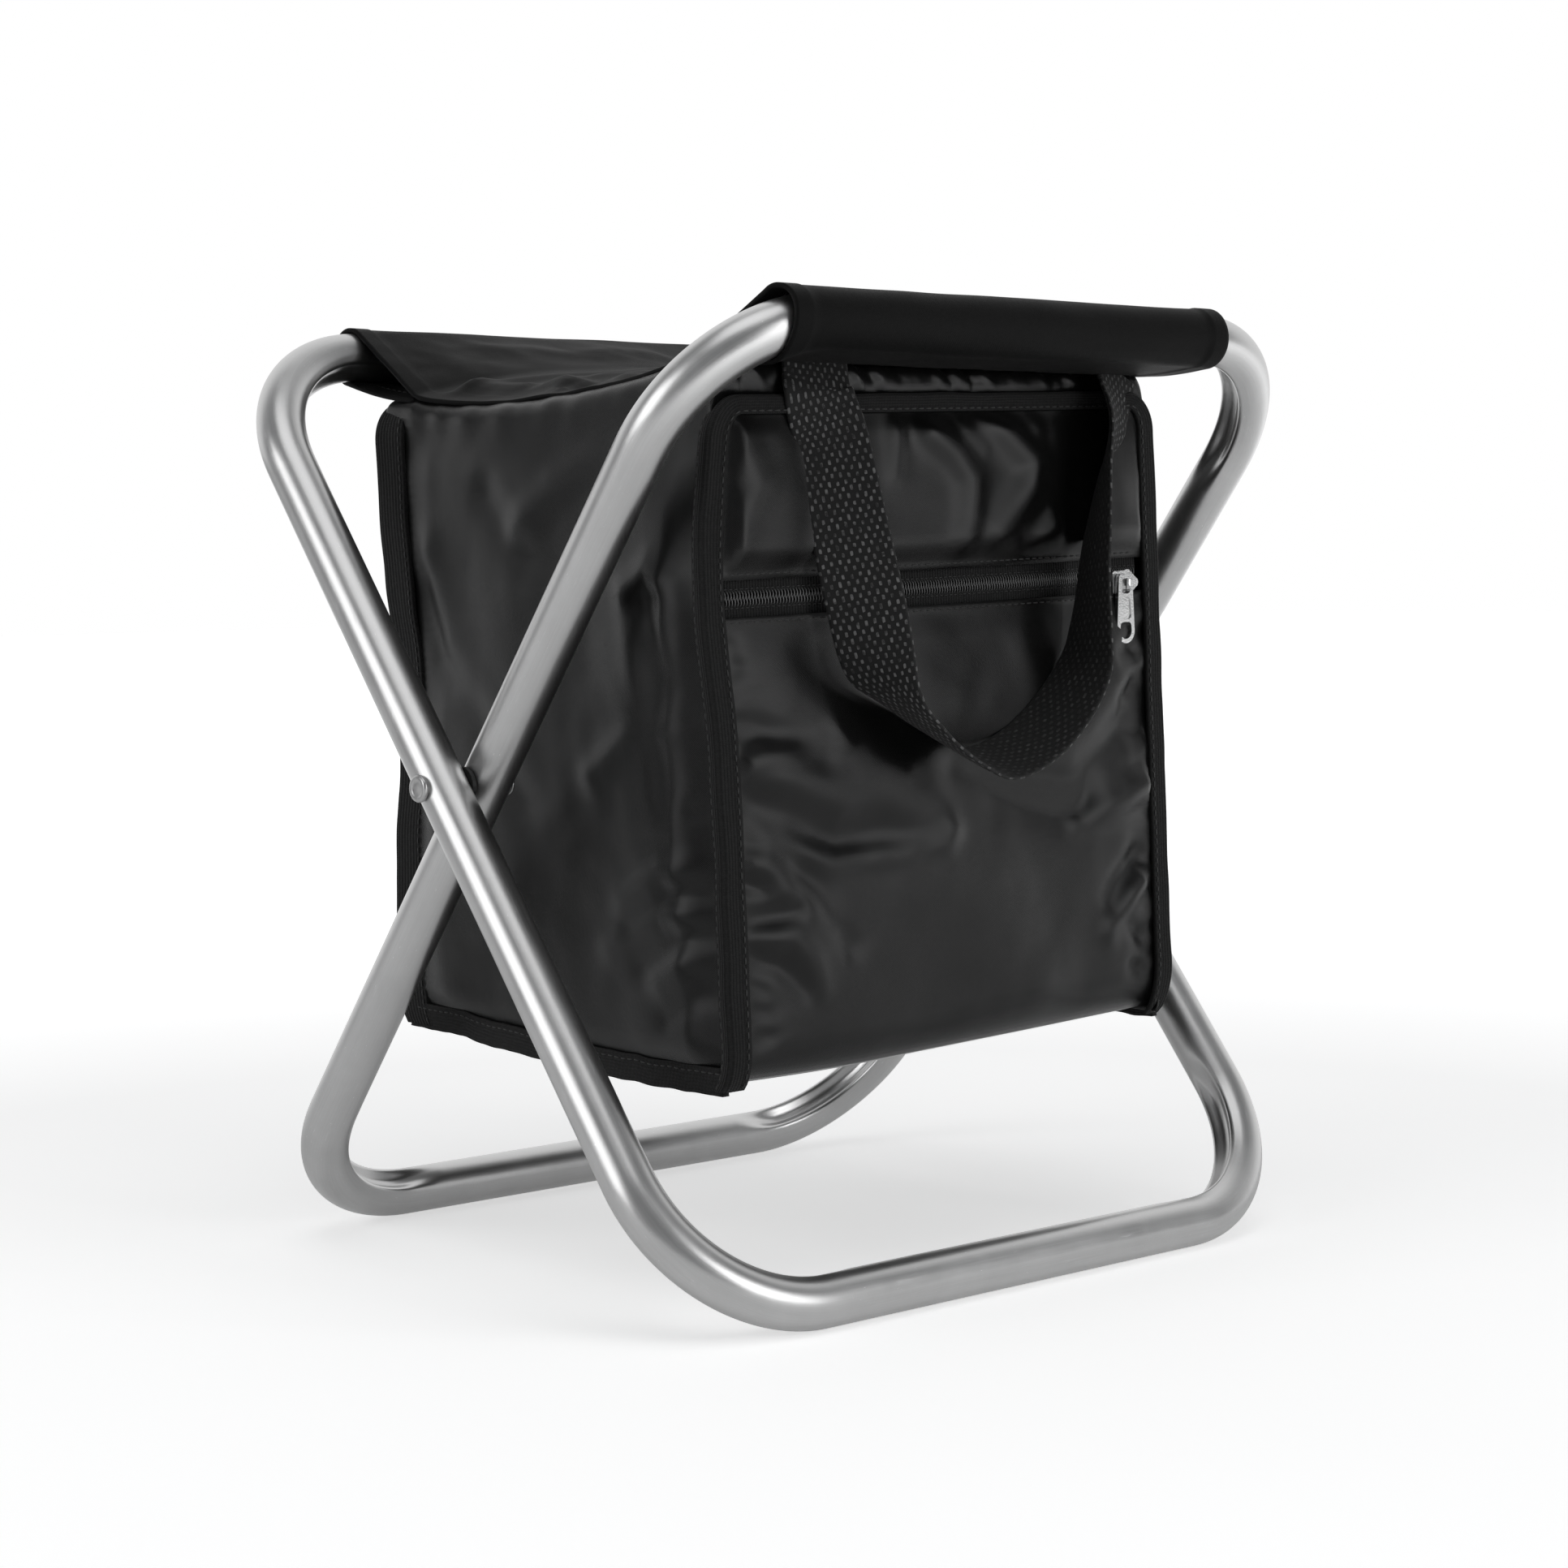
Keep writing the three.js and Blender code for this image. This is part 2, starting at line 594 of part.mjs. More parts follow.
// Binding tape round the left, top and right edges of the front and back panels
function bindingShape() {
  const side = bagHalfWidth + bindingOverhang;
  const radius = bagCornerRadius + bindingOverhang;
  const x = side - radius;
  const z = bagTop - radius;
  const innerX = radius - bindingWidth;
  const innerZ = radius - bindingTopWidth;
  const shape = new THREE.Shape();
  shape.moveTo(-side, bagBottom);
  shape.lineTo(-side + bindingWidth, bagBottom);
  shape.absellipse(-x, z, innerX, innerZ, Math.PI, Math.PI / 2, true);
  shape.absellipse(x, z, innerX, innerZ, Math.PI / 2, 0, true);
  shape.lineTo(side - bindingWidth, bagBottom);
  shape.lineTo(side, bagBottom);
  shape.absarc(x, z, radius, 0, Math.PI / 2);
  shape.absarc(-x, z, radius, Math.PI / 2, Math.PI);
  return shape;
}

function buildBindings() {
  const front = bagFrontY - touchGap - bindingThickness;
  addBagMesh("binding_front", plateXZ(bindingShape(), front, bindingThickness), tape);
  addBagMesh("binding_back", plateXZ(bindingShape(), -front - bindingThickness, bindingThickness), tape);
  for (const [name, sign] of sides) {
    const near = sign * (bagHalfWidth + touchGap);
    const far = near + sign * bindingThickness;
    const bottom = bagBottom - sideBindingDrop;
    const low = new THREE.Vector3(Math.min(near, far), bagFrontY, bottom);
    const high = new THREE.Vector3(Math.max(near, far), -bagFrontY, bottom + bindingWidth);
    addBagMesh(`binding_bottom_${name}`, slab(low, high), tape);
  }
}

// Zip

function buildZip() {
  const length = 2 * (panelHalfWidth - zipEndInset);
  const tapeY = bagFrontY + shellThickness + touchGap;
  const tapeWidth = (zipOpening - zipChainWidth) / 2 + zipTapeOverlap - touchGap;
  for (const [name, sign] of [
    ["zip_tape_lower", -1],
    ["zip_tape_upper", 1],
  ]) {
    const inner = zipHeight + sign * (zipChainWidth / 2 + touchGap);
    const outer = inner + sign * tapeWidth;
    const low = new THREE.Vector3(-length / 2, tapeY, Math.min(inner, outer));
    const high = new THREE.Vector3(length / 2, tapeY + zipTapeThickness, Math.max(inner, outer));
    addBagMesh(name, slab(low, high), tape);
  }
  const chainCount = Math.floor(length / zipChainPitch);
  const back = tapeY + zipTapeThickness;
  const rings = [];
  for (let i = 0; i <= 2 * chainCount; i += 1) {
    const x = ((chainCount - i) * zipChainPitch) / 2;
    const [high, wide] = i % 2 ? coilToothShares : coilValleyShares;
    const front = back - zipChainThickness * high;
    const half = (zipChainWidth / 2) * wide;
    rings.push([
      new THREE.Vector3(x, back, zipHeight - half),
      new THREE.Vector3(x, front, zipHeight - half * coilFaceShare),
      new THREE.Vector3(x, front, zipHeight + half * coilFaceShare),
      new THREE.Vector3(x, back, zipHeight + half),
    ]);
  }
  addBagMesh("zip_coil", skinRings(rings, false), chain);
}

// Slider: a plate in front of the chain with a bridge on it

// Shares of half its length and half its width
const sliderShares = [
  [-1, 0.78],
  [-0.9, 0.86],
  [-0.1, 0.92],
  [0.05, 1],
  [0.25, 1],
  [0.94, 0.22],
  [1, 0],
];

function sliderShape() {
  const points = sliderShares.map(([along, wide]) => {
    return new THREE.Vector2((along * sliderLength) / 2, (wide * sliderWidth) / 2);
  });
  const lower = points.slice(0, -1).map((point) => new THREE.Vector2(point.x, -point.y));
  return new THREE.Shape([...lower, ...points.reverse()]);
}

// Both legs of the bridge start inside the plate.
function bridgeShape() {
  const corner = (shape, x, height, radius, from, to) => {
    shape.absarc(x, height, radius, from, to, from > to);
  };
  const inner = bridgeBend - bridgeThickness;
  const bend = bridgeHeight - bridgeBend;
  const foot = -sliderPlate / 2;
  const shape = new THREE.Shape();
  shape.moveTo(bridgeStart + bridgeThickness, foot);
  corner(shape, bridgeStart + bridgeBend, bend, inner, Math.PI, Math.PI / 2);
  corner(shape, bridgeEnd - bridgeBend, bend, inner, Math.PI / 2, 0);
  shape.lineTo(bridgeEnd - bridgeThickness, foot);
  shape.lineTo(bridgeEnd, foot);
  corner(shape, bridgeEnd - bridgeBend, bend, bridgeBend, 0, Math.PI / 2);
  corner(shape, bridgeStart + bridgeBend, bend, bridgeBend, Math.PI / 2, Math.PI);
  shape.lineTo(bridgeStart, foot);
  return shape;
}

function buildSlider() {
  const chainFront = bagFrontY + shellThickness + touchGap + zipTapeThickness - zipChainThickness;
  const mount = new THREE.Group();
  mount.position.set(sliderPlace, chainFront - touchGap + leanAt(zipHeight), zipHeight);
  const plate = toSolid(plateXZ(sliderShape(), -sliderPlate, sliderPlate));
  const bridge = plateXZ(bridgeShape(), -bridgeWidth / 2, bridgeWidth)
    .rotateX(Math.PI / 2)
    .translate(0, -sliderPlate, 0);
  addMesh(mount, "zip_slider", toGeometry(plate.add(toSolid(bridge))), plating);
  // The puller's eye hangs on the bridge's first leg.
  const puller = addMesh(mount, "zip_puller", pullerGeometry(), plating);
  puller.position.set(bridgeStart + bridgeThickness / 2, -sliderPlate - touchGap, bridgeWidth / 2 + touchGap);
  stool.add(mount);
}

// Outline of the puller inside a rim: it widens downwards, with a flat top and a round foot.
function pullerOutline(rim, low, high) {
  const footZ = pullerRim - pullerLength + pullerBottomWidth / 2;
  const halfAt = (z) => {
    return THREE.MathUtils.mapLinear(z, pullerRim, footZ, pullerTopWidth, pullerBottomWidth) / 2 - rim;
  };
  const shape = new THREE.Shape();
  const roundFoot = low < footZ;
  const corner = Math.min(halfAt(high), pullerRim);
  shape.moveTo(halfAt(high), high - corner);
  shape.absarc(halfAt(high) - corner, high - corner, corner, 0, Math.PI / 2);
  shape.absarc(corner - halfAt(high), high - corner, corner, Math.PI / 2, Math.PI);
  if (roundFoot) {
    shape.absarc(0, footZ, halfAt(footZ), Math.PI, 2 * Math.PI);
  } else {
    shape.absarc(corner - halfAt(low), low + corner, corner, Math.PI, 1.5 * Math.PI);
    shape.absarc(halfAt(low) - corner, low + corner, corner, 1.5 * Math.PI, 2 * Math.PI);
  }
  return shape;
}

function pullerGeometry() {
  const footZ = pullerRim - pullerLength;
  const holeTop = footZ + pullerRim + pullerHoleLength;
  const body = toSolid(plateXZ(pullerOutline(0, footZ, pullerRim), -pullerThickness, pullerThickness));
  const through = pullerThickness + 2 * cutOverrun;
  const eye = plateXZ(pullerOutline(pullerRim, -pullerEyeLength, 0), -pullerThickness - cutOverrun, through);
  const hole = plateXZ(pullerOutline(pullerRim, footZ, holeTop), -pullerThickness - cutOverrun, through);
  const panelTop = -pullerEyeLength - pullerPanelGap;
  const panel = plateXZ(
    pullerOutline(pullerRim, holeTop + pullerPanelGap, panelTop),
    -pullerThickness - cutOverrun,
    pullerPanelDepth + cutOverrun,
  );
  return toGeometry(body.subtract(toSolid(eye)).subtract(toSolid(hole)).subtract(toSolid(panel)));
}

// Webbing handles: each runs from one sewn end down, round the bottom of the loop and up to the other.
// Webbing doesn't bend in its own plane, so it turns on edge on its way down and twists on its way up.

// Shares of half the span, the drop, the stand-off and half a turn, from the left end to the right one
const handleShares = [
  [-1, 0.016, 0.27, 0],
  [-0.97, 0.065, 0.27, 0.03],
  [-0.88, 0.137, 0.3, 0.06],
  [-0.78, 0.343, 0.56, 0.11],
  [-0.757, 0.554, 0.82, 0.24],
  [-0.663, 0.766, 0.98, 0.38],
  [-0.489, 0.879, 1, 0.45],
  [-0.265, 0.957, 1, 0.5],
  [-0.01, 1, 1, 0.5],
  [0.2, 0.95, 1, 0.51],
  [0.39, 0.85, 1, 0.54],
  [0.545, 0.743, 1, 0.58],
  [0.63, 0.637, 1, 0.62],
  [0.73, 0.452, 0.95, 0.68],
  [0.84, 0.234, 0.75, 0.71],
  [0.915, 0.1, 0.6, 0.79],
  [1, 0.016, 0.27, 1],
];

// The same for the left sewn end of each handle, which goes up the bag's top strip to the seat's sleeve
const frontTuckShares = [
  [-1, -0.045, 0.01, 0],
  [-1, -0.022, 0.04, 0],
  [-1, -0.005, 0.13, 0],
];
const rearTuckShares = [
  [-1, -0.02, 0.01, 0],
  [-1, -0.012, 0.05, 0],
  [-1, -0.005, 0.13, 0],
];

// The webbing hangs in front of one panel of the bag, which leans forward or back from the handle's side.
function handleGeometry(lean, tuckShares) {
  const otherTuck = tuckShares.map(([span, drop, out]) => [-span, drop, out, 1]).reverse();
  const shares = [...tuckShares, ...handleShares, ...otherTuck];
  const places = shares.map(([span, drop, out]) => {
    const x = handleCentre + (span * handleSpan) / 2;
    const z = handleTop - drop * handleDrop;
    const face = bagDepth / 2 - lean * leanAt(z);
    return new THREE.Vector3(x, -face - out * handleStandOff, z);
  });
  const route = new THREE.CatmullRomCurve3(places, false, "centripetal");
  const rings = [];
  for (let i = 0; i <= handleSteps; i += 1) {
    const share = i / handleSteps;
    const centre = route.getPoint(share);
    const tangent = route.getTangent(share);
    const spot = share * (shares.length - 1);
    const low = Math.min(Math.floor(spot), shares.length - 2);
    const turn = Math.PI * THREE.MathUtils.lerp(shares[low][3], shares[low + 1][3], spot - low);
    const wide = new THREE.Vector3(Math.cos(turn), -Math.sin(turn), -handleTilt * Math.sin(turn));
    wide.addScaledVector(tangent, -wide.dot(tangent)).setLength(webbingWidth / 2);
    const deep = new THREE.Vector3().crossVectors(tangent, wide).setLength(webbingThickness / 2);
    const outer = centre.clone().add(deep);
    const inner = centre.clone().sub(deep);
    rings.push([
      inner.clone().sub(wide),
      inner.clone().add(wide),
      outer.clone().add(wide),
      outer.clone().sub(wide),
    ]);
  }
  return skinRings(rings, false);
}

function buildHandles() {
  addMesh(stool, "handle_front", handleGeometry(1, frontTuckShares), webbing);
  addMesh(stool, "handle_back", handleGeometry(-1, rearTuckShares), webbing).rotation.z = Math.PI;
}

buildFrames();
buildPivots();
buildSeat();
buildPanels();
buildTop();
buildBox();
buildBindings();
buildZip();
buildSlider();
buildHandles();

export default stool;
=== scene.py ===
"""Folding cooler stool: the looks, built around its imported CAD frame. Lengths here are millimetres, X along the
seat rails, -Y the front with the zip, +Z up, and become metres where a mesh is made."""

import math
import bpy
import numpy as np
from mathutils import Matrix, Vector, noise


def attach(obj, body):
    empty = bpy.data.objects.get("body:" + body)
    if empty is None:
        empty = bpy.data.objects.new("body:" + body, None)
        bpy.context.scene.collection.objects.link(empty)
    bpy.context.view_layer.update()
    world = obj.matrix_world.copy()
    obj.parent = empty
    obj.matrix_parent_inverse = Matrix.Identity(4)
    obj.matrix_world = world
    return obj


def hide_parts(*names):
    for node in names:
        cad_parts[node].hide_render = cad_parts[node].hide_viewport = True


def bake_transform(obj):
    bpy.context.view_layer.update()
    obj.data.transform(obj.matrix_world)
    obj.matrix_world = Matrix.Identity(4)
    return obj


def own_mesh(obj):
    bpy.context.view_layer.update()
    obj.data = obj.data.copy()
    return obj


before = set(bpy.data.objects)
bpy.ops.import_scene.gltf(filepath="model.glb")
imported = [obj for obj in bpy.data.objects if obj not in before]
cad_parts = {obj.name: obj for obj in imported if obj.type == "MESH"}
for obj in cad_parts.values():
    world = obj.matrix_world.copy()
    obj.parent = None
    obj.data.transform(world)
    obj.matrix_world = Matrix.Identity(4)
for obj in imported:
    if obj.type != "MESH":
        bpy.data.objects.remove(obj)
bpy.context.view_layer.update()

MM = 0.001

# Sizes as in the part's source
TUBE_RADIUS = 9.5
LOOP_WIDTH = 312
ARM_ABOVE, ARM_BELOW = 210.3, 227
BEND_RADIUS = 58
HALF_ANGLE = math.radians(37.9)
LEG_OFFSET = 9.65
PIVOT_Z = ARM_BELOW * math.cos(HALF_ANGLE) + TUBE_RADIUS
RAIL_Y = ARM_ABOVE * math.sin(HALF_ANGLE)
RAIL_Z = PIVOT_Z + ARM_ABOVE * math.cos(HALF_ANGLE)
FLAT_DEPTH, FLAT_HALF = 1.0, 20
FLUTE_DEPTH, FLUTE_HALF_ANGLE, FLUTE_RUN_OUT, FLUTE_RIM = 4.2, math.radians(38), 17, 0.28
TUBE_POINTS = 72
SEAT_HALF_WIDTH = 113
HEM, HEM_COLUMN = 8.2, 8  # the hem's width, and the column of the seat's grid that its stitches follow
SEAM_Y = RAIL_Y - 43.7
FRONT_SEAM_Z, REAR_SEAM_Z = RAIL_Z - 10, RAIL_Z - 17.7
SEAT_CROWN, EDGE_SAG, SLEEVE_EASE = 14.5, 8, 0.8
CLOTH_THICK = 0.9
BAG_HALF, BAG_BOTTOM = 118, 84
BAG_DEPTH, BAG_TOP = 2 * (SEAM_Y + 16.5), REAR_SEAM_Z - 4.6
ROOF_TOP = BAG_TOP - 1.9
BAG_LEAN, BAG_FORWARD, BAG_CORNER = 9, -0.5, 12
ZIP_Z, ZIP_OPENING = 259.7, 13.2
ZIP_LOW, ZIP_HIGH = ZIP_Z - ZIP_OPENING / 2, ZIP_Z + ZIP_OPENING / 2
WEBBING, WEBBING_THICK = 29, 1.6
SKEW = 0.03  # the bag hangs a little lower on its left, less at its top
PANEL_HALF, PANEL_TOP, SHELL_REACH = BAG_HALF - 1.3, BAG_TOP - 3.2, BAG_DEPTH / 2 - 1.3
ROLL = 0.8  # how far the panels' lower edges turn under, as a share of their rolls' radius
BINDING_WIDTH, TOP_BINDING_WIDTH, BINDING_THICK = 10, 7, 1.5
BINDING_OUT = 3.7  # how far the bindings stand out past the sides and the top
ZIP_HALF, COIL_PITCH = BAG_HALF - 8.3, 1.34
HANDLE_DROP, HANDLE_OUT = 139.8, 19.2  # from its ends to its lowest place, and out from the panel


# Numbers

def smooth(t):
    t = np.clip(t, 0, 1)
    return t * t * (3 - 2 * t)


def ramp(x, low, high):
    return smooth((np.asarray(x, float) - low) / (high - low))


def wander(points, scale, seed):
    """Smooth noise, about -1 to 1, at places in millimetres."""
    flat = np.asarray(points, float).reshape(-1, 3) / scale + seed * 17.3
    values = [noise.noise(Vector(p)) for p in flat]
    return np.array(values).reshape(np.shape(points)[:-1]) * 1.6


def line_distance(px, pz, line):
    """Distance from places to a bent line, and how far along it they are, from 0 to 1."""
    best = np.full(np.shape(px), 1e9)
    along = np.zeros(np.shape(px))
    spans = [math.dist(a, b) for a, b in zip(line, line[1:])]
    total, done = sum(spans), 0.0
    for (a, b), span in zip(zip(line, line[1:]), spans):
        t = np.clip(((px - a[0]) * (b[0] - a[0]) + (pz - a[1]) * (b[1] - a[1])) / span ** 2, 0, 1)
        gap = np.hypot(px - a[0] - t * (b[0] - a[0]), pz - a[1] - t * (b[1] - a[1]))
        nearer = gap < best
        best = np.where(nearer, gap, best)
        along = np.where(nearer, (done + t * span) / total, along)
        done += span
    return best, along


def creases(px, pz, folds):
    """Height of the cloth from a list of folds: (height, half width, bent line). They fade along their line."""
    height = np.zeros(np.shape(px))
    for rise, width, line in folds:
        gap, along = line_distance(px, pz, line)
        height += rise * np.exp(-(gap / width) ** 2) * (1 - 0.45 * along)
    return height


# Meshes

def new_object(name, points, faces, material, uvs=None):
    mesh = bpy.data.meshes.new(name)
    mesh.from_pydata((np.asarray(points, float) * MM).tolist(), [], faces)
    mesh.polygons.foreach_set("use_smooth", [True] * len(mesh.polygons))
    if uvs is not None:
        layer = mesh.uv_layers.new(name="UVMap")
        corners = np.zeros(len(mesh.loops), np.int32)
        mesh.loops.foreach_get("vertex_index", corners)
        layer.data.foreach_set("uv", (np.asarray(uvs, float)[corners] * MM).astype(np.float32).ravel())
    mesh.materials.append(material)
    obj = bpy.data.objects.new(name, mesh)
    bpy.context.scene.collection.objects.link(obj)
    return obj


def run_lengths(points):
    """How far along a line its points lie."""
    return np.concatenate([[0], np.cumsum(np.linalg.norm(np.diff(points, axis=0), axis=1))])


def lengths_along(grid, axis):
    """Arc length along one axis of a grid of points, averaged over the other."""
    steps = np.linalg.norm(np.diff(grid, axis=axis), axis=2).mean(axis=1 - axis)
    return np.concatenate([[0], np.cumsum(steps)])


def unit(vectors):
    return vectors / np.linalg.norm(vectors, axis=-1, keepdims=True)


def grid_normals(grid):
    normals = np.cross(np.gradient(grid, axis=1), np.gradient(grid, axis=0))
    return normals / np.maximum(np.linalg.norm(normals, axis=2, keepdims=True), 1e-9)


def quads(rows, cols, start=0, wrap_rows=False, wrap_cols=False, flip=False):
    faces = []
    for i in range(rows if wrap_rows else rows - 1):
        here, after = start + i * cols, start + (i + 1) % rows * cols
        for j in range(cols if wrap_cols else cols - 1):
            face = (here + j, here + (j + 1) % cols, after + (j + 1) % cols, after + j)
            faces.append((face[0], face[3], face[2], face[1]) if flip else face)
    return faces


def tube_faces(rings, around, start=0):
    """Faces of a tube with shut ends."""
    last = start + (rings - 1) * around
    ends = [tuple(range(start, start + around))[::-1], tuple(range(last, last + around))]
    return quads(rings, around, start, wrap_cols=True) + ends


def cloth(name, grid, thickness, material):
    """A cloth of some thickness on a grid of points (rows, columns, 3), its face on the side of the normals."""
    rows, cols = grid.shape[:2]
    offset = grid_normals(grid) * np.asarray(thickness, float)[..., None] / 2
    points = np.concatenate([(grid + offset).reshape(-1, 3), (grid - offset).reshape(-1, 3)])
    other = rows * cols
    faces = quads(rows, cols) + quads(rows, cols, other, flip=True)
    edge = list(range(cols)) + [i * cols + cols - 1 for i in range(1, rows)]
    edge += list(range(other - 2, other - cols - 1, -1)) + [i * cols for i in range(rows - 2, 0, -1)]
    faces += [(b, a, a + other, b + other) for a, b in zip(edge, edge[1:] + edge[:1])]
    uv = np.stack(np.meshgrid(lengths_along(grid, 1), lengths_along(grid, 0)), axis=2).reshape(-1, 2)
    return new_object(name, points, faces, material, np.concatenate([uv, uv]))


def swept(name, rings, material, closed=False):
    """A solid through rings of points (rings, points round, 3)."""
    rings = np.asarray(rings, float)
    count, around = rings.shape[:2]
    faces = quads(count, around, wrap_rows=True, wrap_cols=True) if closed else tube_faces(count, around)
    girth = lengths_along(np.concatenate([rings, rings[:, :1]], axis=1), 1)[:-1]
    uv = np.stack(np.meshgrid(girth, lengths_along(rings, 0)), axis=2).reshape(-1, 2)
    return new_object(name, rings.reshape(-1, 3), faces, material, uv)


def lathe(name, profile, centre, direction, material):
    """A turned piece: profile is (radius, height) along direction from centre."""
    axis = Vector(direction).normalized()
    side = axis.orthogonal().normalized()
    other = axis.cross(side)
    turns = [2 * math.pi * k / 48 for k in range(48)]
    rings = [[(Vector(centre) + axis * height + (side * math.cos(a) + other * math.sin(a)) * radius)[:]
              for a in turns] for radius, height in profile]
    return swept(name, rings, material)


# Materials

class Nodes:
    """A small helper to write the nodes of a material or a world."""

    def __init__(self, owner):
        self.owner = bpy.data.materials.new(owner) if isinstance(owner, str) else owner
        self.owner.use_nodes = True
        self.tree = self.owner.node_tree
        self.shader = self.tree.nodes.get("Principled BSDF")

    def feed(self, socket, value):
        """The value is another node's output, a plain one, or None, which leaves the socket as it is."""
        if isinstance(value, bpy.types.NodeSocket):
            self.tree.links.new(value, socket)
        elif value is not None:
            socket.default_value = value

    def add(self, kind, **settings):
        node = self.tree.nodes.new(kind)
        for key, value in settings.items():
            if key in node.inputs:
                self.feed(node.inputs[key], value)
            else:
                setattr(node, key, value)
        return node

    def math(self, operation, *values, kind="ShaderNodeMath"):
        node = self.add(kind, operation=operation)
        for socket, value in zip(node.inputs, values):
            self.feed(socket, value)
        return node.outputs["Value"]

    def plus(self, first, second):
        return self.math("ADD", first, second)

    def times(self, first, second):
        return self.math("MULTIPLY", first, second)

    def remap(self, value, low, high, to_low, to_high, kind="LINEAR"):
        node = self.add("ShaderNodeMapRange", interpolation_type=kind)
        for socket, number in zip(node.inputs, (value, low, high, to_low, to_high)):
            self.feed(socket, number)
        return node.outputs[0]

    def colours(self, value, stops):
        """A ramp over the value, from (place, grey) stops."""
        ramp_node = self.add("ShaderNodeValToRGB", Fac=value)
        for stop, (place, grey) in zip(list(ramp_node.color_ramp.elements) + [None] * len(stops), stops):
            stop = stop or ramp_node.color_ramp.elements.new(place)
            stop.position, stop.color = place, (grey, grey, grey, 1)
        return ramp_node.outputs[0]

    def noise(self, scale, detail=2.0, coordinates=None, rough=0.5):
        node = self.add("ShaderNodeTexNoise", Scale=scale, Detail=detail, Roughness=rough, Vector=coordinates)
        return node.outputs["Fac"]

    def uv(self):
        return self.add("ShaderNodeUVMap", uv_map="UVMap").outputs[0]

    def place(self):
        return self.add("ShaderNodeTexCoord").outputs["Object"]

    def stretch(self, vector, scale):
        return self.add("ShaderNodeMapping", Vector=vector, Scale=scale).outputs[0]

    def wave(self, vector, axis, pitch):
        """A sine wave from -1 to 1 with this pitch in metres along one axis of a vector."""
        parts = self.add("ShaderNodeSeparateXYZ", Vector=vector)
        return self.math("SINE", self.times(parts.outputs[axis], 2 * math.pi / pitch))

    def bump(self, height, distance, strength, normal=None):
        node = self.add("ShaderNodeBump", Strength=strength, Distance=distance, Height=height, Normal=normal)
        return node.outputs[0]

    def finish(self, colour, roughness, normal=None, **values):
        sockets = {"Base Color": colour, "Roughness": roughness, "Normal": normal, **values}
        for key, value in sockets.items():
            self.feed(self.shader.inputs[key.replace("_", " ")], value)
        return self.owner


def coated_cloth(name, dark=0.0045, light=0.007, rough=0.19, gloss=0.27):
    """Coated nylon: plain weave of fine threads, soft sheen, faint rubbed patches."""
    n = Nodes(name)
    uv, place = n.uv(), n.place()
    weave = n.times(n.wave(uv, 0, 0.0007), n.wave(uv, 1, 0.0007))
    slubs = n.plus(*(n.noise(1.0, 2, n.stretch(uv, scale)) for scale in ((260, 1500, 1), (1500, 260, 1))))
    bumped = n.bump(weave, 0.00005, 0.5)
    bumped = n.bump(n.noise(1000, 2, place), 0.0001, 0.5, bumped)
    bumped = n.bump(n.noise(110, 2, place), 0.0004, 0.15, bumped)
    mixed = n.plus(n.times(slubs, 0.2), n.times(n.noise(26, 3, place), 0.6))
    colour = n.colours(mixed, [(0.3, dark), (0.7, light)])
    roughness = n.remap(mixed, 0.3, 0.7, rough - 0.04, rough + 0.06)
    return n.finish(colour, roughness, bumped, Specular_IOR_Level=gloss, Sheen_Weight=0.03,
                    Sheen_Roughness=0.35)


def ribbed_tape(name):
    """Binding tape: ribs along its length, crossed by fine threads."""
    n = Nodes(name)
    uv = n.uv()
    height = n.plus(n.times(n.wave(uv, 0, 0.00135), 0.7), n.times(n.wave(uv, 1, 0.0006), 0.3))
    fluff = n.noise(700, 3, n.place())
    bumped = n.bump(fluff, 0.0002, 0.4, n.bump(height, 0.00022, 0.9))
    # Painted shade: the rib grooves are darker and the crests lighter, over a random tone from the fluff
    colour = n.colours(n.plus(n.times(height, 0.25), fluff), [(0.25, 0.004), (0.95, 0.014)])
    return n.finish(colour, 0.8, bumped, Specular_IOR_Level=0.2, Sheen_Weight=0.05, Sheen_Roughness=0.6)


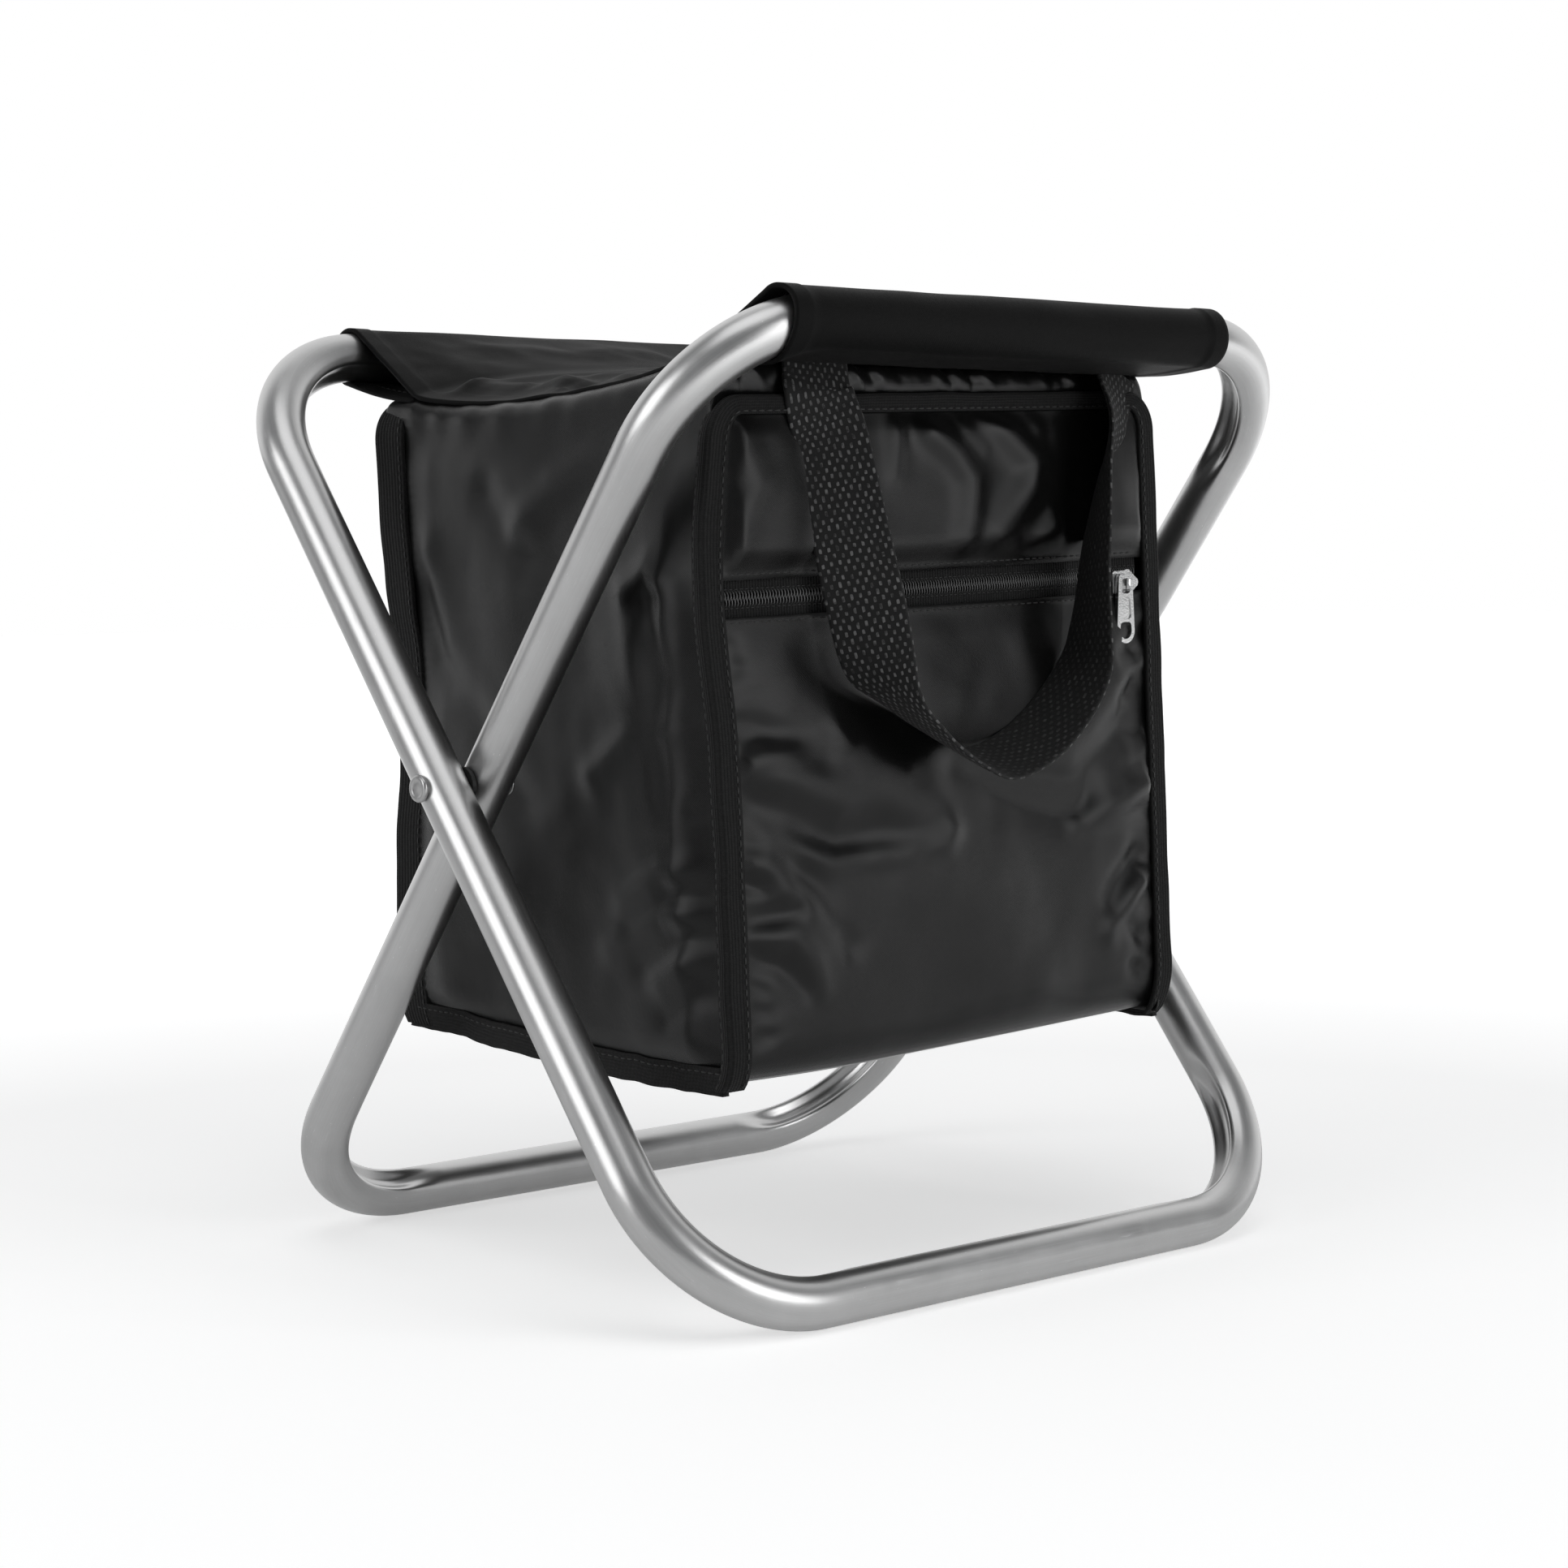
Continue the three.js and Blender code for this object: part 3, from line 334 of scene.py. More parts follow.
def webbing_weave(name):
    """Coarse webbing: short bright floats of yarn in shifted rows on a dark ground, painted shade on its inner
    face and a painted highlight along its edge.
    """
    column, row = 0.0016, 0.0052  # pitches in metres
    edge_at, edge_half = 0.0296, 0.0009  # where the girth passes from the inner face to the outer one
    n = Nodes(name)
    uv, place = n.uv(), n.place()
    girth, length = n.add("ShaderNodeSeparateXYZ", Vector=uv).outputs[:2]
    across = n.times(girth, 1 / column)
    shift = n.times(n.math("MODULO", n.math("FLOOR", across), 2.0), 0.5)
    along = n.plus(n.plus(n.times(length, 1 / row), shift), n.times(n.noise(260, 2, place), 0.5))
    rounded = []
    for cell, size in ((across, 2.8), (along, 5.6)):
        middle = n.math("SUBTRACT", n.math("FRACT", cell), 0.5)
        rounded.append(n.math("POWER", n.math("ABSOLUTE", n.times(middle, size)), 4.0))
    dot = n.remap(n.plus(*rounded), 1.2, 0.6, 0.0, 1.0)
    threads = n.noise(1.0, 2, n.stretch(uv, (700, 9000, 1)))
    worn = n.remap(n.noise(420, 3, place), 0.35, 0.65, 0.35, 1.3)
    height = n.plus(dot, n.times(threads, 0.3))
    bumped = n.bump(n.noise(900, 2, place), 0.0002, 0.4, n.bump(height, 0.0005, 0.9))
    lit = n.times(dot, n.times(n.remap(threads, 0.3, 0.7, 0.6, 1.1), worn))
    # Painted shade: the inner face, which faces the bag, is dimmed
    inner = n.math("LESS_THAN", girth, 0.0292)
    lit = n.times(lit, n.remap(inner, 0.0, 1.0, 1.0, 0.45))
    # Painted highlight: a lighter line along the edge where the two faces meet
    edge = n.times(n.math("COMPARE", girth, edge_at, edge_half), n.remap(threads, 0.4, 0.6, 0.1, 0.6))
    lit = n.math("MAXIMUM", lit, n.times(edge, 0.6))
    colour = n.colours(lit, [(0.0, 0.012), (0.3, 0.028), (1.0, 0.16)])
    return n.finish(colour, 0.75, bumped, Specular_IOR_Level=0.2, Sheen_Weight=0.05, Sheen_Roughness=0.5)


def satin_steel(name):
    """Drawn tube: fine lines along it, clouded polish, dull scuffs and fine white scratches."""
    n = Nodes(name)
    uv, place = n.uv(), n.place()
    lines = n.noise(1.0, 3, n.stretch(uv, (2600, 22, 1)), 0.6)
    clouds = n.noise(45, 4, place, 0.6)
    scuffs = n.remap(n.noise(1.0, 5, n.stretch(uv, (420, 60, 1)), 0.75), 0.6, 0.7, 0.0, 1.0)
    scratches = n.remap(n.noise(1.0, 6, n.stretch(uv, (1500, 260, 1)), 0.8), 0.64, 0.68, 0.0, 1.0)
    mixed = n.plus(n.times(lines, 0.5), n.times(clouds, 0.5))
    grey = n.plus(n.remap(mixed, 0.3, 0.7, 0.52, 0.61), n.times(scuffs, 0.05))
    colour = n.colours(n.plus(grey, n.times(scratches, 0.4)), [(0.0, 0.0), (1.0, 1.0)])
    roughness = n.plus(n.remap(mixed, 0.3, 0.7, 0.28, 0.37), n.times(scuffs, 0.1))
    bumped = n.bump(n.noise(160, 3, place), 0.0004, 0.1, n.bump(lines, 0.00003, 0.35))
    return n.finish(colour, roughness, bumped, Metallic=1.0)


def plain_metal(name, grey, rough, streaks=300):
    n = Nodes(name)
    spots = n.noise(streaks, 4, n.place(), 0.6)
    colour = n.colours(spots, [(0.3, grey * 0.86), (0.7, grey)])
    bumped = n.bump(n.noise(streaks * 3, 2, n.place()), 0.0001, 0.25)
    return n.finish(colour, n.remap(spots, 0.3, 0.7, rough - 0.05, rough + 0.08), bumped, Metallic=1.0)


def thread(name, grey):
    n = Nodes(name)
    twist = n.noise(2500, 2, n.place())
    return n.finish(n.colours(twist, [(0.3, grey * 0.6), (0.7, grey)]), 0.6, n.bump(twist, 0.0001, 0.6))


def moulded(name, grey, rough):
    n = Nodes(name)
    grain = n.noise(600, 3, n.place())
    colour = n.colours(grain, [(0.3, grey * 0.8), (0.7, grey)])
    return n.finish(colour, n.remap(grain, 0.3, 0.7, rough, rough + 0.1), n.bump(grain, 0.0001, 0.3))


STEEL = satin_steel("satin_steel")
RIVET = plain_metal("rivet_steel", 0.5, 0.3)
PLATING = plain_metal("bright_plating", 0.74, 0.16, 500)
CLOTH = coated_cloth("coated_cloth")
SEAT_CLOTH = coated_cloth("seat_cloth", 0.0035, 0.005, 0.55, 0.07)
TAPE = ribbed_tape("ribbed_tape")
WEBBING_WEAVE = webbing_weave("webbing_weave")
THREAD = thread("sewing_thread", 0.03)
TAPE_THREAD = thread("tape_thread", 0.035)
COIL = moulded("zip_nylon", 0.1, 0.3)
WASHER = moulded("washer_plastic", 0.02, 0.45)
LINING = coated_cloth("silver_lining", 0.3, 0.42, 0.4)


# Tube loops

def bend_stations(sideways, upwards, start):
    """Places round one bend, and a little past it: (place, inwards, how deep the flute, how deep the flat)."""
    height = ARM_ABOVE - BEND_RADIUS if upwards > 0 else BEND_RADIUS - ARM_BELOW
    centre = np.array([sideways * (LOOP_WIDTH / 2 - BEND_RADIUS), height])
    steps, margin = 40, 8
    out = []
    for i in range(-margin, steps + margin + 1):
        share = min(max(i / steps, 0), 1)
        angle = start + share * math.pi / 2
        outwards = np.array([math.cos(angle), math.sin(angle)])
        along = np.array([-math.sin(angle), math.cos(angle)])
        past = (min(i, 0) + max(i - steps, 0)) / margin * FLUTE_RUN_OUT
        arc = BEND_RADIUS * math.pi / 2 * min(share, 1 - share) - abs(past)
        flute = float(smooth((arc + FLUTE_RUN_OUT) / (FLUTE_RUN_OUT + 12)))
        out.append((centre + outwards * BEND_RADIUS + along * past, -outwards, flute, 0.0))
    return out


def leg_stations(sideways):
    out = []
    for i in range(-12, 13):
        share = i / 12
        flat = 1 - float(smooth(2 * abs(share) - 1))
        out.append((np.array([sideways * LOOP_WIDTH / 2, sideways * share * FLAT_HALF]),
                    np.array([-sideways, 0.0]), 0.0, flat))
    return out


def loop_stations():
    corners = [bend_stations(1, -1, -math.pi / 2), leg_stations(1), bend_stations(1, 1, 0),
               bend_stations(-1, 1, math.pi / 2), leg_stations(-1), bend_stations(-1, -1, math.pi)]
    out = []
    for here, after in zip(corners, corners[1:] + corners[:1]):
        out += here
        a, b = here[-1], after[0]
        for t in np.linspace(0, 1, 9)[1:-1]:
            out.append((a[0] * (1 - t) + b[0] * t, a[1], 0.0, 0.0))
    return out


def tube_ring(station):
    """Round the tube at one station: a flute with raised rims pressed into its inner side, or a flat."""
    place, inwards, flute, flat = station
    ring = []
    for k in range(TUBE_POINTS):
        angle = 2 * math.pi * k / TUBE_POINTS
        turn = abs(math.atan2(math.sin(angle), math.cos(angle))) / FLUTE_HALF_ANGLE
        pressed = FLUTE_DEPTH * flute * (1 - float(smooth((turn - 0.12) / 0.88))) if turn < 1 else 0.0
        rim = FLUTE_RIM * flute * math.exp(-((turn - 1.06) / 0.16) ** 2)
        inward = TUBE_RADIUS * math.cos(angle) - pressed + rim * math.cos(angle)
        x = place[0] + inwards[0] * inward
        y = -(TUBE_RADIUS + rim) * math.sin(angle)
        ring.append([x, y, place[1] + inwards[1] * inward])
    ring = np.array(ring)
    if flat > 0:
        softness = 0.25
        limit = place[0] + TUBE_RADIUS - flat * FLAT_DEPTH - softness
        over = np.maximum(ring[:, 0] - limit, 0)
        ring[:, 0] = np.where(over > 0, limit + softness * (1 - np.exp(-over / softness)), ring[:, 0])
    return ring


def build_loop(node, turn):
    points = np.array([tube_ring(s) for s in loop_stations()])
    c, s = math.cos(HALF_ANGLE), math.sin(HALF_ANGLE)
    x, y, z = points[..., 0] - LEG_OFFSET, points[..., 1], points[..., 2]
    y, z = y * c + z * s, -y * s + z * c + PIVOT_Z
    if turn:
        x, y = -x, -y
    tube = swept(node + "_tube", np.stack([x, y, z], axis=2), STEEL, closed=True)
    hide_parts(node)
    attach(tube, node)


build_loop("rear_seat_frame", False)
build_loop("front_seat_frame", True)


# Rivets and washers

def paint(node, material):
    """Another material for a node that is shown as the CAD has it."""
    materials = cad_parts[node].data.materials
    materials.clear()
    materials.append(material)


for side, sign in (("right", 1), ("left", -1)):
    outer = LOOP_WIDTH / 2 + LEG_OFFSET + TUBE_RADIUS + 0.3
    inner = LOOP_WIDTH / 2 - LEG_OFFSET - TUBE_RADIUS - 0.3
    tail = [(0, -1.5), (1.6, -1.45), (3.6, -1.25), (4.4, -0.8), (4.6, -0.25), (4.3, 0), (3, 0)]
    head = [(3, 0), (4.9, 0), (5.1, 0.35), (5.1, 1.1), (4.85, 1.6), (4.35, 1.86), (3.5, 1.9), (3.1, 1.72),
            (2.7, 1.62), (0, 1.6)]
    profile = [(radius, inner + z) for radius, z in tail] + [(radius, outer + z) for radius, z in head]
    rivet = lathe("rivet_" + side, profile, (0, 0, PIVOT_Z), (sign, 0, 0), RIVET)
    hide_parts("pivot_rivet_" + side)
    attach(rivet, "rear_seat_frame")
    paint("pivot_spacer_" + side, WASHER)


# Seat sling

def seat_edge(share):
    """Height of the side edges between the seams, from -1 at the front seam to 1 at the rear one."""
    straight = FRONT_SEAM_Z + (REAR_SEAM_Z - FRONT_SEAM_Z) * (share + 1) / 2
    return straight - EDGE_SAG * np.maximum(1 - share * share, 0) ** 0.7


def seat_crown(share, across):
    return SEAT_CROWN * smooth((share + 1) / 1.4) * (1 - across * across)


def underside_drop(x):
    past = max(abs(x) - (LOOP_WIDTH / 2 - BEND_RADIUS), 0)
    along = math.sqrt(BEND_RADIUS ** 2 - past ** 2)
    return BEND_RADIUS - along + TUBE_RADIUS * (BEND_RADIUS / along - 1)


def seat_half(side, across):
    """The cloth from near the middle over one rail and back to its seam: points, how loose, which part."""
    x = across * SEAT_HALF_WIDTH
    wrap = TUBE_RADIUS + SLEEVE_EASE + CLOTH_THICK / 2
    rail = np.array([RAIL_Y, RAIL_Z])
    seam = np.array([SEAM_Y, float(seat_edge(side) + seat_crown(side, across))])
    lower = seam + [0.9, -1.9]

    def tangent(target, sign):
        towards = target - rail
        angle = math.atan2(towards[1], towards[0]) + sign * math.acos(wrap / np.hypot(*towards))
        return angle % (2 * math.pi)

    start, end = tangent(seam, -1), tangent(lower, 1) - 2 * math.pi
    drop = underside_drop(x + side * LEG_OFFSET)
    rows = []

    def add(place, loose, under, part):
        rows.append((x, side * (place[0] - drop * under * math.sin(HALF_ANGLE)),
                     place[1] - drop * under * math.cos(HALF_ANGLE), loose, part))

    for t in np.linspace(0, 1, 36)[1:-1]:
        z = seat_edge(side * t) + seat_crown(side * t, across)
        add((t * SEAM_Y, z), math.sin(math.pi * t ** 0.7), 0, 0)
    for t in np.linspace(0, 1, 22)[:-1]:
        angle_place = rail + wrap * np.array([math.cos(start), math.sin(start)])
        add(seam * (1 - t) + angle_place * t, math.sin(t * math.pi), 0, 1)
    for t in np.linspace(0, 1, 34):
        angle = start + (end - start) * t
        add(rail + wrap * np.array([math.cos(angle), math.sin(angle)]), 0, float(smooth((t - 0.33) / 0.67)), 2)
    tail = rail + wrap * np.array([math.cos(end), math.sin(end)])
    for t in np.linspace(0, 1, 18)[1:]:
        place = tail * (1 - t) + lower * t
        add((place[0], place[1] - 1.4 * math.sin(t * math.pi)), 0.35 * math.sin(t * math.pi), 1 - t, 3)
    return rows


SEAT_FOLDS = [
    (3.6, 8, [(-97, 66), (-94, 30), (-92, -10), (-88, -44)]),
    (3.6, 9, [(97, 66), (95, 30), (93, -10), (90, -44)]),
    (2.4, 7, [(-100, 70), (-70, 62), (-30, 50), (20, 46), (70, 52)]),
    (-1.8, 6, [(-92, 30), (-60, 36), (-20, 28), (20, 20)]),
    (2.2, 6, [(-106, 2), (-84, 22), (-50, 20), (-10, 2), (30, -6)]),
    (-1.8, 5, [(-106, -12), (-80, 2), (-40, -4), (0, -20)]),
    (1.8, 6, [(-104, -26), (-76, -16), (-36, -26), (10, -44)]),
    (-1.4, 7, [(100, 40), (60, 20), (20, 24)]),
    (1.8, 8, [(104, 0), (70, 2), (30, -14)]),
    (1.2, 6, [(-60, 112), (-20, 104), (30, 108)]),
    (-1.0, 7, [(60, -112), (20, -106), (-30, -110)]),
]


def build_seat():
    shares = np.concatenate([np.linspace(-1, -0.92, 9)[:-1], np.linspace(-0.92, 0.92, 62),
                             np.linspace(0.92, 1, 9)[1:]])
    columns = []
    for across in shares:
        middle = (across * SEAT_HALF_WIDTH, 0, seat_edge(0) + seat_crown(0, across), 0.6, 0)
        columns.append(seat_half(-1, across)[::-1] + [middle] + seat_half(1, across))
    values = np.array(columns).transpose(1, 0, 2)
    grid, loose, part = values[..., :3].copy(), values[..., 3], values[..., 4]
    across = grid[..., 0] / SEAT_HALF_WIDTH
    normals = grid_normals(grid)
    outwards = np.where((normals[..., 2:] > 0) | (part[..., None] >= 2), 1, -1)
    height = 0.5 * loose * np.cos(3 * math.pi * across)
    height += loose * (0.7 * wander(grid * [1, 0.4, 1], 24, 1) + 0.3 * wander(grid, 9, 2))
    upper = (part < 2) * np.minimum(loose * 2, 1)
    height += upper * creases(grid[..., 0], grid[..., 1], SEAT_FOLDS)
    # The hem at each side is pulled in by its thread, most where the bag hangs from it
    edge = ramp(np.abs(grid[..., 0]), SEAT_HALF_WIDTH - 14, SEAT_HALF_WIDTH)
    height += (part == 0) * edge * 0.35 * np.sin(grid[..., 1] / 9 + 2 * np.sin(grid[..., 1] / 23))
    height += (part == 2) * 0.25 * wander(grid * [0.4, 1, 1], 12, 3)
    grid += normals * outwards * height[..., None] * (1 - 0.6 * edge * (part < 2))[..., None]
    hem = ramp(np.abs(values[..., 0]), SEAT_HALF_WIDTH - HEM - 1, SEAT_HALF_WIDTH - HEM)
    seam = np.exp(-((np.abs(np.abs(grid[..., 1]) - SEAM_Y)) / 1.2) ** 2) * (part < 2)
    thickness = CLOTH_THICK + 0.8 * hem - 0.25 * seam
    seat = cloth("seat", grid[::-1], thickness[::-1], SEAT_CLOTH)
    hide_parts("seat_sling")
    return seat, grid


def stitches(name, line, normals, material, length=2.7, gap=1.1, radius=0.28):
    """Stitches lying on a surface along a line of points."""
    line, normals = np.asarray(line, float), np.asarray(normals, float)
    run = run_lengths(line)
    shares = np.array([0, 0.12, 0.35, 0.65, 0.88, 1.0])
    sizes = radius * np.array([0.25, 0.8, 1, 1, 0.8, 0.25])
    lift = radius * np.array([-0.6, 0.2, 0.5, 0.5, 0.2, -0.6])
    points, faces = [], []
    s = gap
    while s + length < run[-1]:
        centre, up = (np.stack([np.interp(s + shares * length, run, values[:, k]) for k in range(3)], axis=-1)
                      for values in (line, normals))
        up, forward = unit(up), unit(np.gradient(centre, axis=0))
        side = np.cross(up, forward)
        start = len(points)
        for k in range(6):
            for turn in np.linspace(0, 2 * math.pi, 7)[:-1]:
                points.append(centre[k] + up[k] * (lift[k] + sizes[k] * math.sin(turn))
                              + side[k] * sizes[k] * math.cos(turn))
        faces += tube_faces(6, 6, start)
        s += length + gap
    return new_object(name, points, faces, material)


def ride_seat(obj):
    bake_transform(obj)


seat, seat_grid = build_seat()
ride_seat(seat)
seat_normals = grid_normals(seat_grid)
for index, column in enumerate((HEM_COLUMN, -1 - HEM_COLUMN)):
    outer = seat_normals[:, column]
    line = seat_grid[:, column] + [0.6 if column > 0 else -0.6, 0, 0] + outer * -0.55
    sewn = stitches(f"seat_hem_stitches_{index}", line, -outer, THREAD)
    ride_seat(sewn)


# Bag

def lean_at(z):
    return BAG_FORWARD + BAG_LEAN / (BAG_TOP - BAG_BOTTOM) * (np.asarray(z, float) - (BAG_TOP + BAG_BOTTOM) / 2)


def hang(points):
    """Upright places on the bag to the bag as it hangs: it leans, and its corners have settled."""
    p = np.array(points, float)
    x, y, z = p[..., 0].copy(), p[..., 1].copy(), p[..., 2].copy()
    left, right = ramp(-x, 40, BAG_HALF), ramp(x, 40, BAG_HALF)
    front, rear = ramp(-y, 10, 100), ramp(y, 10, 100)
    high, low = ramp(z, 285, 328), 1 - ramp(z, BAG_BOTTOM, 200)
    # The front left edge bows out, the rear left and the front right ones stand further in
    p[..., 0] -= left * front * (5 * np.exp(-((z - 262) / 40) ** 2) - 2 * np.exp(-((z - 326) / 14) ** 2))
    p[..., 0] += left * rear * (4 + 6 * np.exp(-((z - 215) / 55) ** 2)) - right * front * 6.5
    p[..., 1] += lean_at(z)
    # The left hangs lower, and the back stands higher at the top and at the bottom
    p[..., 2] += SKEW * x * (1 - rear * high) * (1 - 0.6 * low * left) + 4 * rear * high
    p[..., 2] += 7 * low * ramp(y, -60, 102)
    return p


def press(obj, body):
    """Each piece of the bag's cloth rides on its body, with a mesh of its own."""
    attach(obj, body)
    if obj.type == "MESH":
        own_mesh(obj)


FRONT_FOLDS = [
    (-2.4, 7, [(-115, 208), (-102, 211), (-87, 208), (-74, 204)]),
    (1.6, 5, [(-115, 201), (-101, 204), (-79, 205), (-64, 206), (-67, 210)]),
    (2.0, 12, [(-114, 198), (-88, 190), (-62, 186), (-37, 194)]),
    (-3.0, 9, [(-114, 189), (-92, 183), (-69, 170), (-48, 171), (-27, 166)]),
    (1.8, 5, [(-113, 184), (-98, 171), (-69, 163), (-38, 163), (-15, 165), (-12, 169)]),
    (-2.2, 6, [(-111, 179), (-89, 165), (-77, 151), (-62, 130)]),
    (1.6, 7, [(-108, 170), (-89, 153), (-70, 139)]),
    (-2.2, 4.5, [(-110, 143), (-100, 144), (-89, 146)]),
    (1.8, 6, [(-110, 139), (-90, 137), (-82, 128), (-79, 118)]),
    (-2.0, 5, [(-110, 131), (-97, 127), (-85, 117)]),
    (-1.8, 4, [(-116, 245), (-109, 244)]),
    (-2.2, 5, [(-115, 232), (-111, 236), (-113, 241)]),
    (-1.6, 3.5, [(-113, 173), (-108, 171)]),
    (-1.6, 3.5, [(-113, 159), (-104, 156)]),
    (-1.6, 3.5, [(-110, 120), (-103, 118)]),
    (-1.6, 3.5, [(-109, 110), (-102, 109)]),
    (-1.6, 3.5, [(-108, 100), (-102, 101)]),
    (-1.6, 13, [(-68, 236), (-46, 214), (-24, 198), (-2, 187), (26, 179), (58, 171)]),
    (2.4, 22, [(-23, 170), (2, 147), (27, 119), (35, 107)]),
    (-2.8, 11, [(62, 174), (30, 182), (-4, 192)]),
    (-2.6, 9, [(110, 206), (90, 199), (70, 187)]),
    (2.6, 6, [(108, 177), (88, 171), (62, 165)]),
    (-2.6, 6, [(102, 147), (91, 140), (83, 132)]),
    (2.2, 6, [(102, 138), (87, 128), (80, 121)]),
    (-1.8, 4, [(103, 215), (94, 211)]),
    (-1.8, 4, [(103, 201), (96, 204)]),
    (-1.8, 4, [(103, 230), (96, 229)]),
    (-1.5, 4, [(103, 116), (97, 120)]),
    (-1.5, 4, [(103, 102), (97, 104)]),
]
BACK_FOLDS = [
    (-2.4, 9, [(-112, 290), (-80, 276), (-50, 270)]),
    (2.0, 12, [(-110, 240), (-70, 222), (-30, 216)]),
    (-2.6, 8, [(-112, 200), (-86, 190), (-60, 172)]),
    (1.8, 7, [(-112, 150), (-88, 140), (-72, 120)]),
    (-2.4, 16, [(-60, 250), (-20, 200), (30, 170), (70, 130)]),
    (2.2, 8, [(112, 180), (84, 172), (60, 150)]),
    (-2.4, 7, [(112, 140), (90, 128), (76, 108)]),
    (-1.8, 4, [(112, 220), (100, 214)]),
    (-1.8, 4, [(112, 262), (98, 258)]),
    (1.6, 14, [(20, 310), (30, 260), (10, 230)]),
]
SIDE_FOLDS = [
    (1.6, 12, [(72, 277), (64, 250), (55, 227)]),
    (-1.8, 10, [(78, 262), (70, 238), (36, 207), (14, 184)]),
    (5.4, 52, [(-100, 222), (-94, 170), (-100, 116)]),
    (4.6, 34, [(92, 180), (88, 120), (92, 90)]),
    (0.8, 7, [(-58, 264), (-62, 245), (-68, 223), (-69, 191)]),
    (1.3, 5, [(-60, 263), (-73, 272), (-88, 265), (-94, 251), (-89, 235)]),
    (-1.2, 5, [(-76, 260), (-79, 246)]),
    (-2.4, 12, [(-80, 232), (-72, 214), (-76, 196)]),
    (1.8, 6.5, [(-104, 164), (-75, 161), (-49, 148)]),
    (-1.8, 6, [(-103, 155), (-76, 153), (-52, 141)]),
    (1.8, 6.5, [(-103, 148), (-70, 147), (-39, 130)]),
    (-1.8, 6, [(-103, 138), (-78, 137), (-56, 126)]),
    (1.8, 6.5, [(-105, 129), (-87, 131), (-69, 120)]),
    (-1.6, 6, [(-103, 118), (-86, 116), (-70, 108)]),
    (1.2, 7, [(-32, 195), (-59, 210), (-76, 213)]),
    (1.4, 8, [(10, 287), (-13, 301), (-36, 311)]),
    (-1.4, 8, [(30, 300), (4, 276), (-30, 268)]),
    (-1.6, 4, [(-102, 186), (-90, 184)]),
    (-1.4, 4, [(-102, 222), (-92, 218)]),
]


def panel(name, low, high, face, folds, node, settle, corner=0.0):
    """A front or back panel of the bag, seen from outside. face is -1 at the front and 1 at the back."""
    columns, rows = 118, max(int((high - low) / 1.9), 12)
    s, t = np.meshgrid(np.linspace(-1, 1, columns), np.linspace(0, 1, rows))
    z = low + (high - low) * t
    up = np.clip(z - (high - corner), 0, corner)
    x = s * (PANEL_HALF - corner + np.sqrt(np.maximum(corner ** 2 - up ** 2, 0)))
    inside = PANEL_HALF - np.abs(x)
    # It swells, and its creases fade towards the sides
    height = 1.5 * creases(x, z, folds) * (0.15 + 0.85 * smooth(inside / 9))
    height += 2.2 * smooth(inside / 26) * np.sin(np.clip(t, 0, 1) * math.pi) ** 0.5
    places = np.stack([x, np.full(x.shape, face * 40.0), z], axis=2)
    height += 0.8 * wander(places, 38, 5 + face) + 0.2 * wander(places, 13, 9 + face)
    # Gathers at the side seams, more of them below the zip
    puckers = np.exp(-inside / 11) * wander(places * [0.25, 1, 1], 6.5, 12 + face)
    height += np.where(z < ZIP_Z, 1.3, 0.4) * puckers
    if corner:
        height *= smooth((high - 1 - z) / 11)
    height = settle(x, z, np.maximum(height, -1.6))
    # Nothing stands over the binding
    height = np.minimum(height, 0.5 + 10 * smooth((inside - 5) / 9))
    grid = hang(np.stack([x, face * (BAG_DEPTH / 2 + height), z], axis=2))
    obj = cloth(name, grid if face > 0 else grid[:, ::-1], CLOTH_THICK, CLOTH)
    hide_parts(node)
    return obj, grid


def roll_radius(x):
    return 15 + 7 * (x + BAG_HALF) / (2 * BAG_HALF)


def turn_under(x, z, height):
    """The lower edge of a panel rolls under, further at its right."""
    radius = roll_radius(x)
    down = np.clip((BAG_BOTTOM + radius - z) / radius, 0, 1)
    return height * (1 - down) - radius * ROLL * (1 - np.sqrt(np.maximum(1 - down ** 2, 0)))


def zip_edge(x, z, height):
    """Both panels lie flat and folded over where the zip is sewn in."""
    near = np.minimum(np.abs(z - ZIP_LOW), np.abs(z - ZIP_HIGH))
    height = height * smooth(near / 12) + 0.5 * np.exp(-(near / 1.4) ** 2)
    # Above the zip the panel leans back, below it swells
    above = np.clip((z - ZIP_HIGH) / (PANEL_TOP - ZIP_HIGH), 0, 1)
    height += 5.0 * np.where(above > 0, smooth(above / 0.2) * (1 - above), 0)
    swell = 3.4 * np.exp(-((z - 200) / 56) ** 2) * smooth(near / 40)
    return height + (z < ZIP_Z) * swell * (1 - (x / BAG_HALF) ** 4)


UPPER_FOLDS = [
    (2.4, 8, [(-114, 326), (-100, 301), (-114, 266)]),
    (1.8, 4.5, [(-30, 328), (-31, 312), (-33, 302)]),
    (3.0, 6.5, [(-14, 318), (-2, 310), (6, 300), (5, 286), (-1, 268)]),
    (1.4, 4, [(2, 328), (6, 318), (14, 312)]),
    (3.2, 7, [(15, 326), (28, 316), (41, 306), (38, 296), (20, 280)]),
    (1.2, 4, [(40, 328), (46, 318)]),
    (1.4, 5, [(52, 280), (40, 272), (34, 266)]),
    (-1.6, 9, [(-78, 322), (-72, 296), (-76, 272)]),
    (-1.6, 8, [(70, 322), (66, 300), (60, 276)]),
]

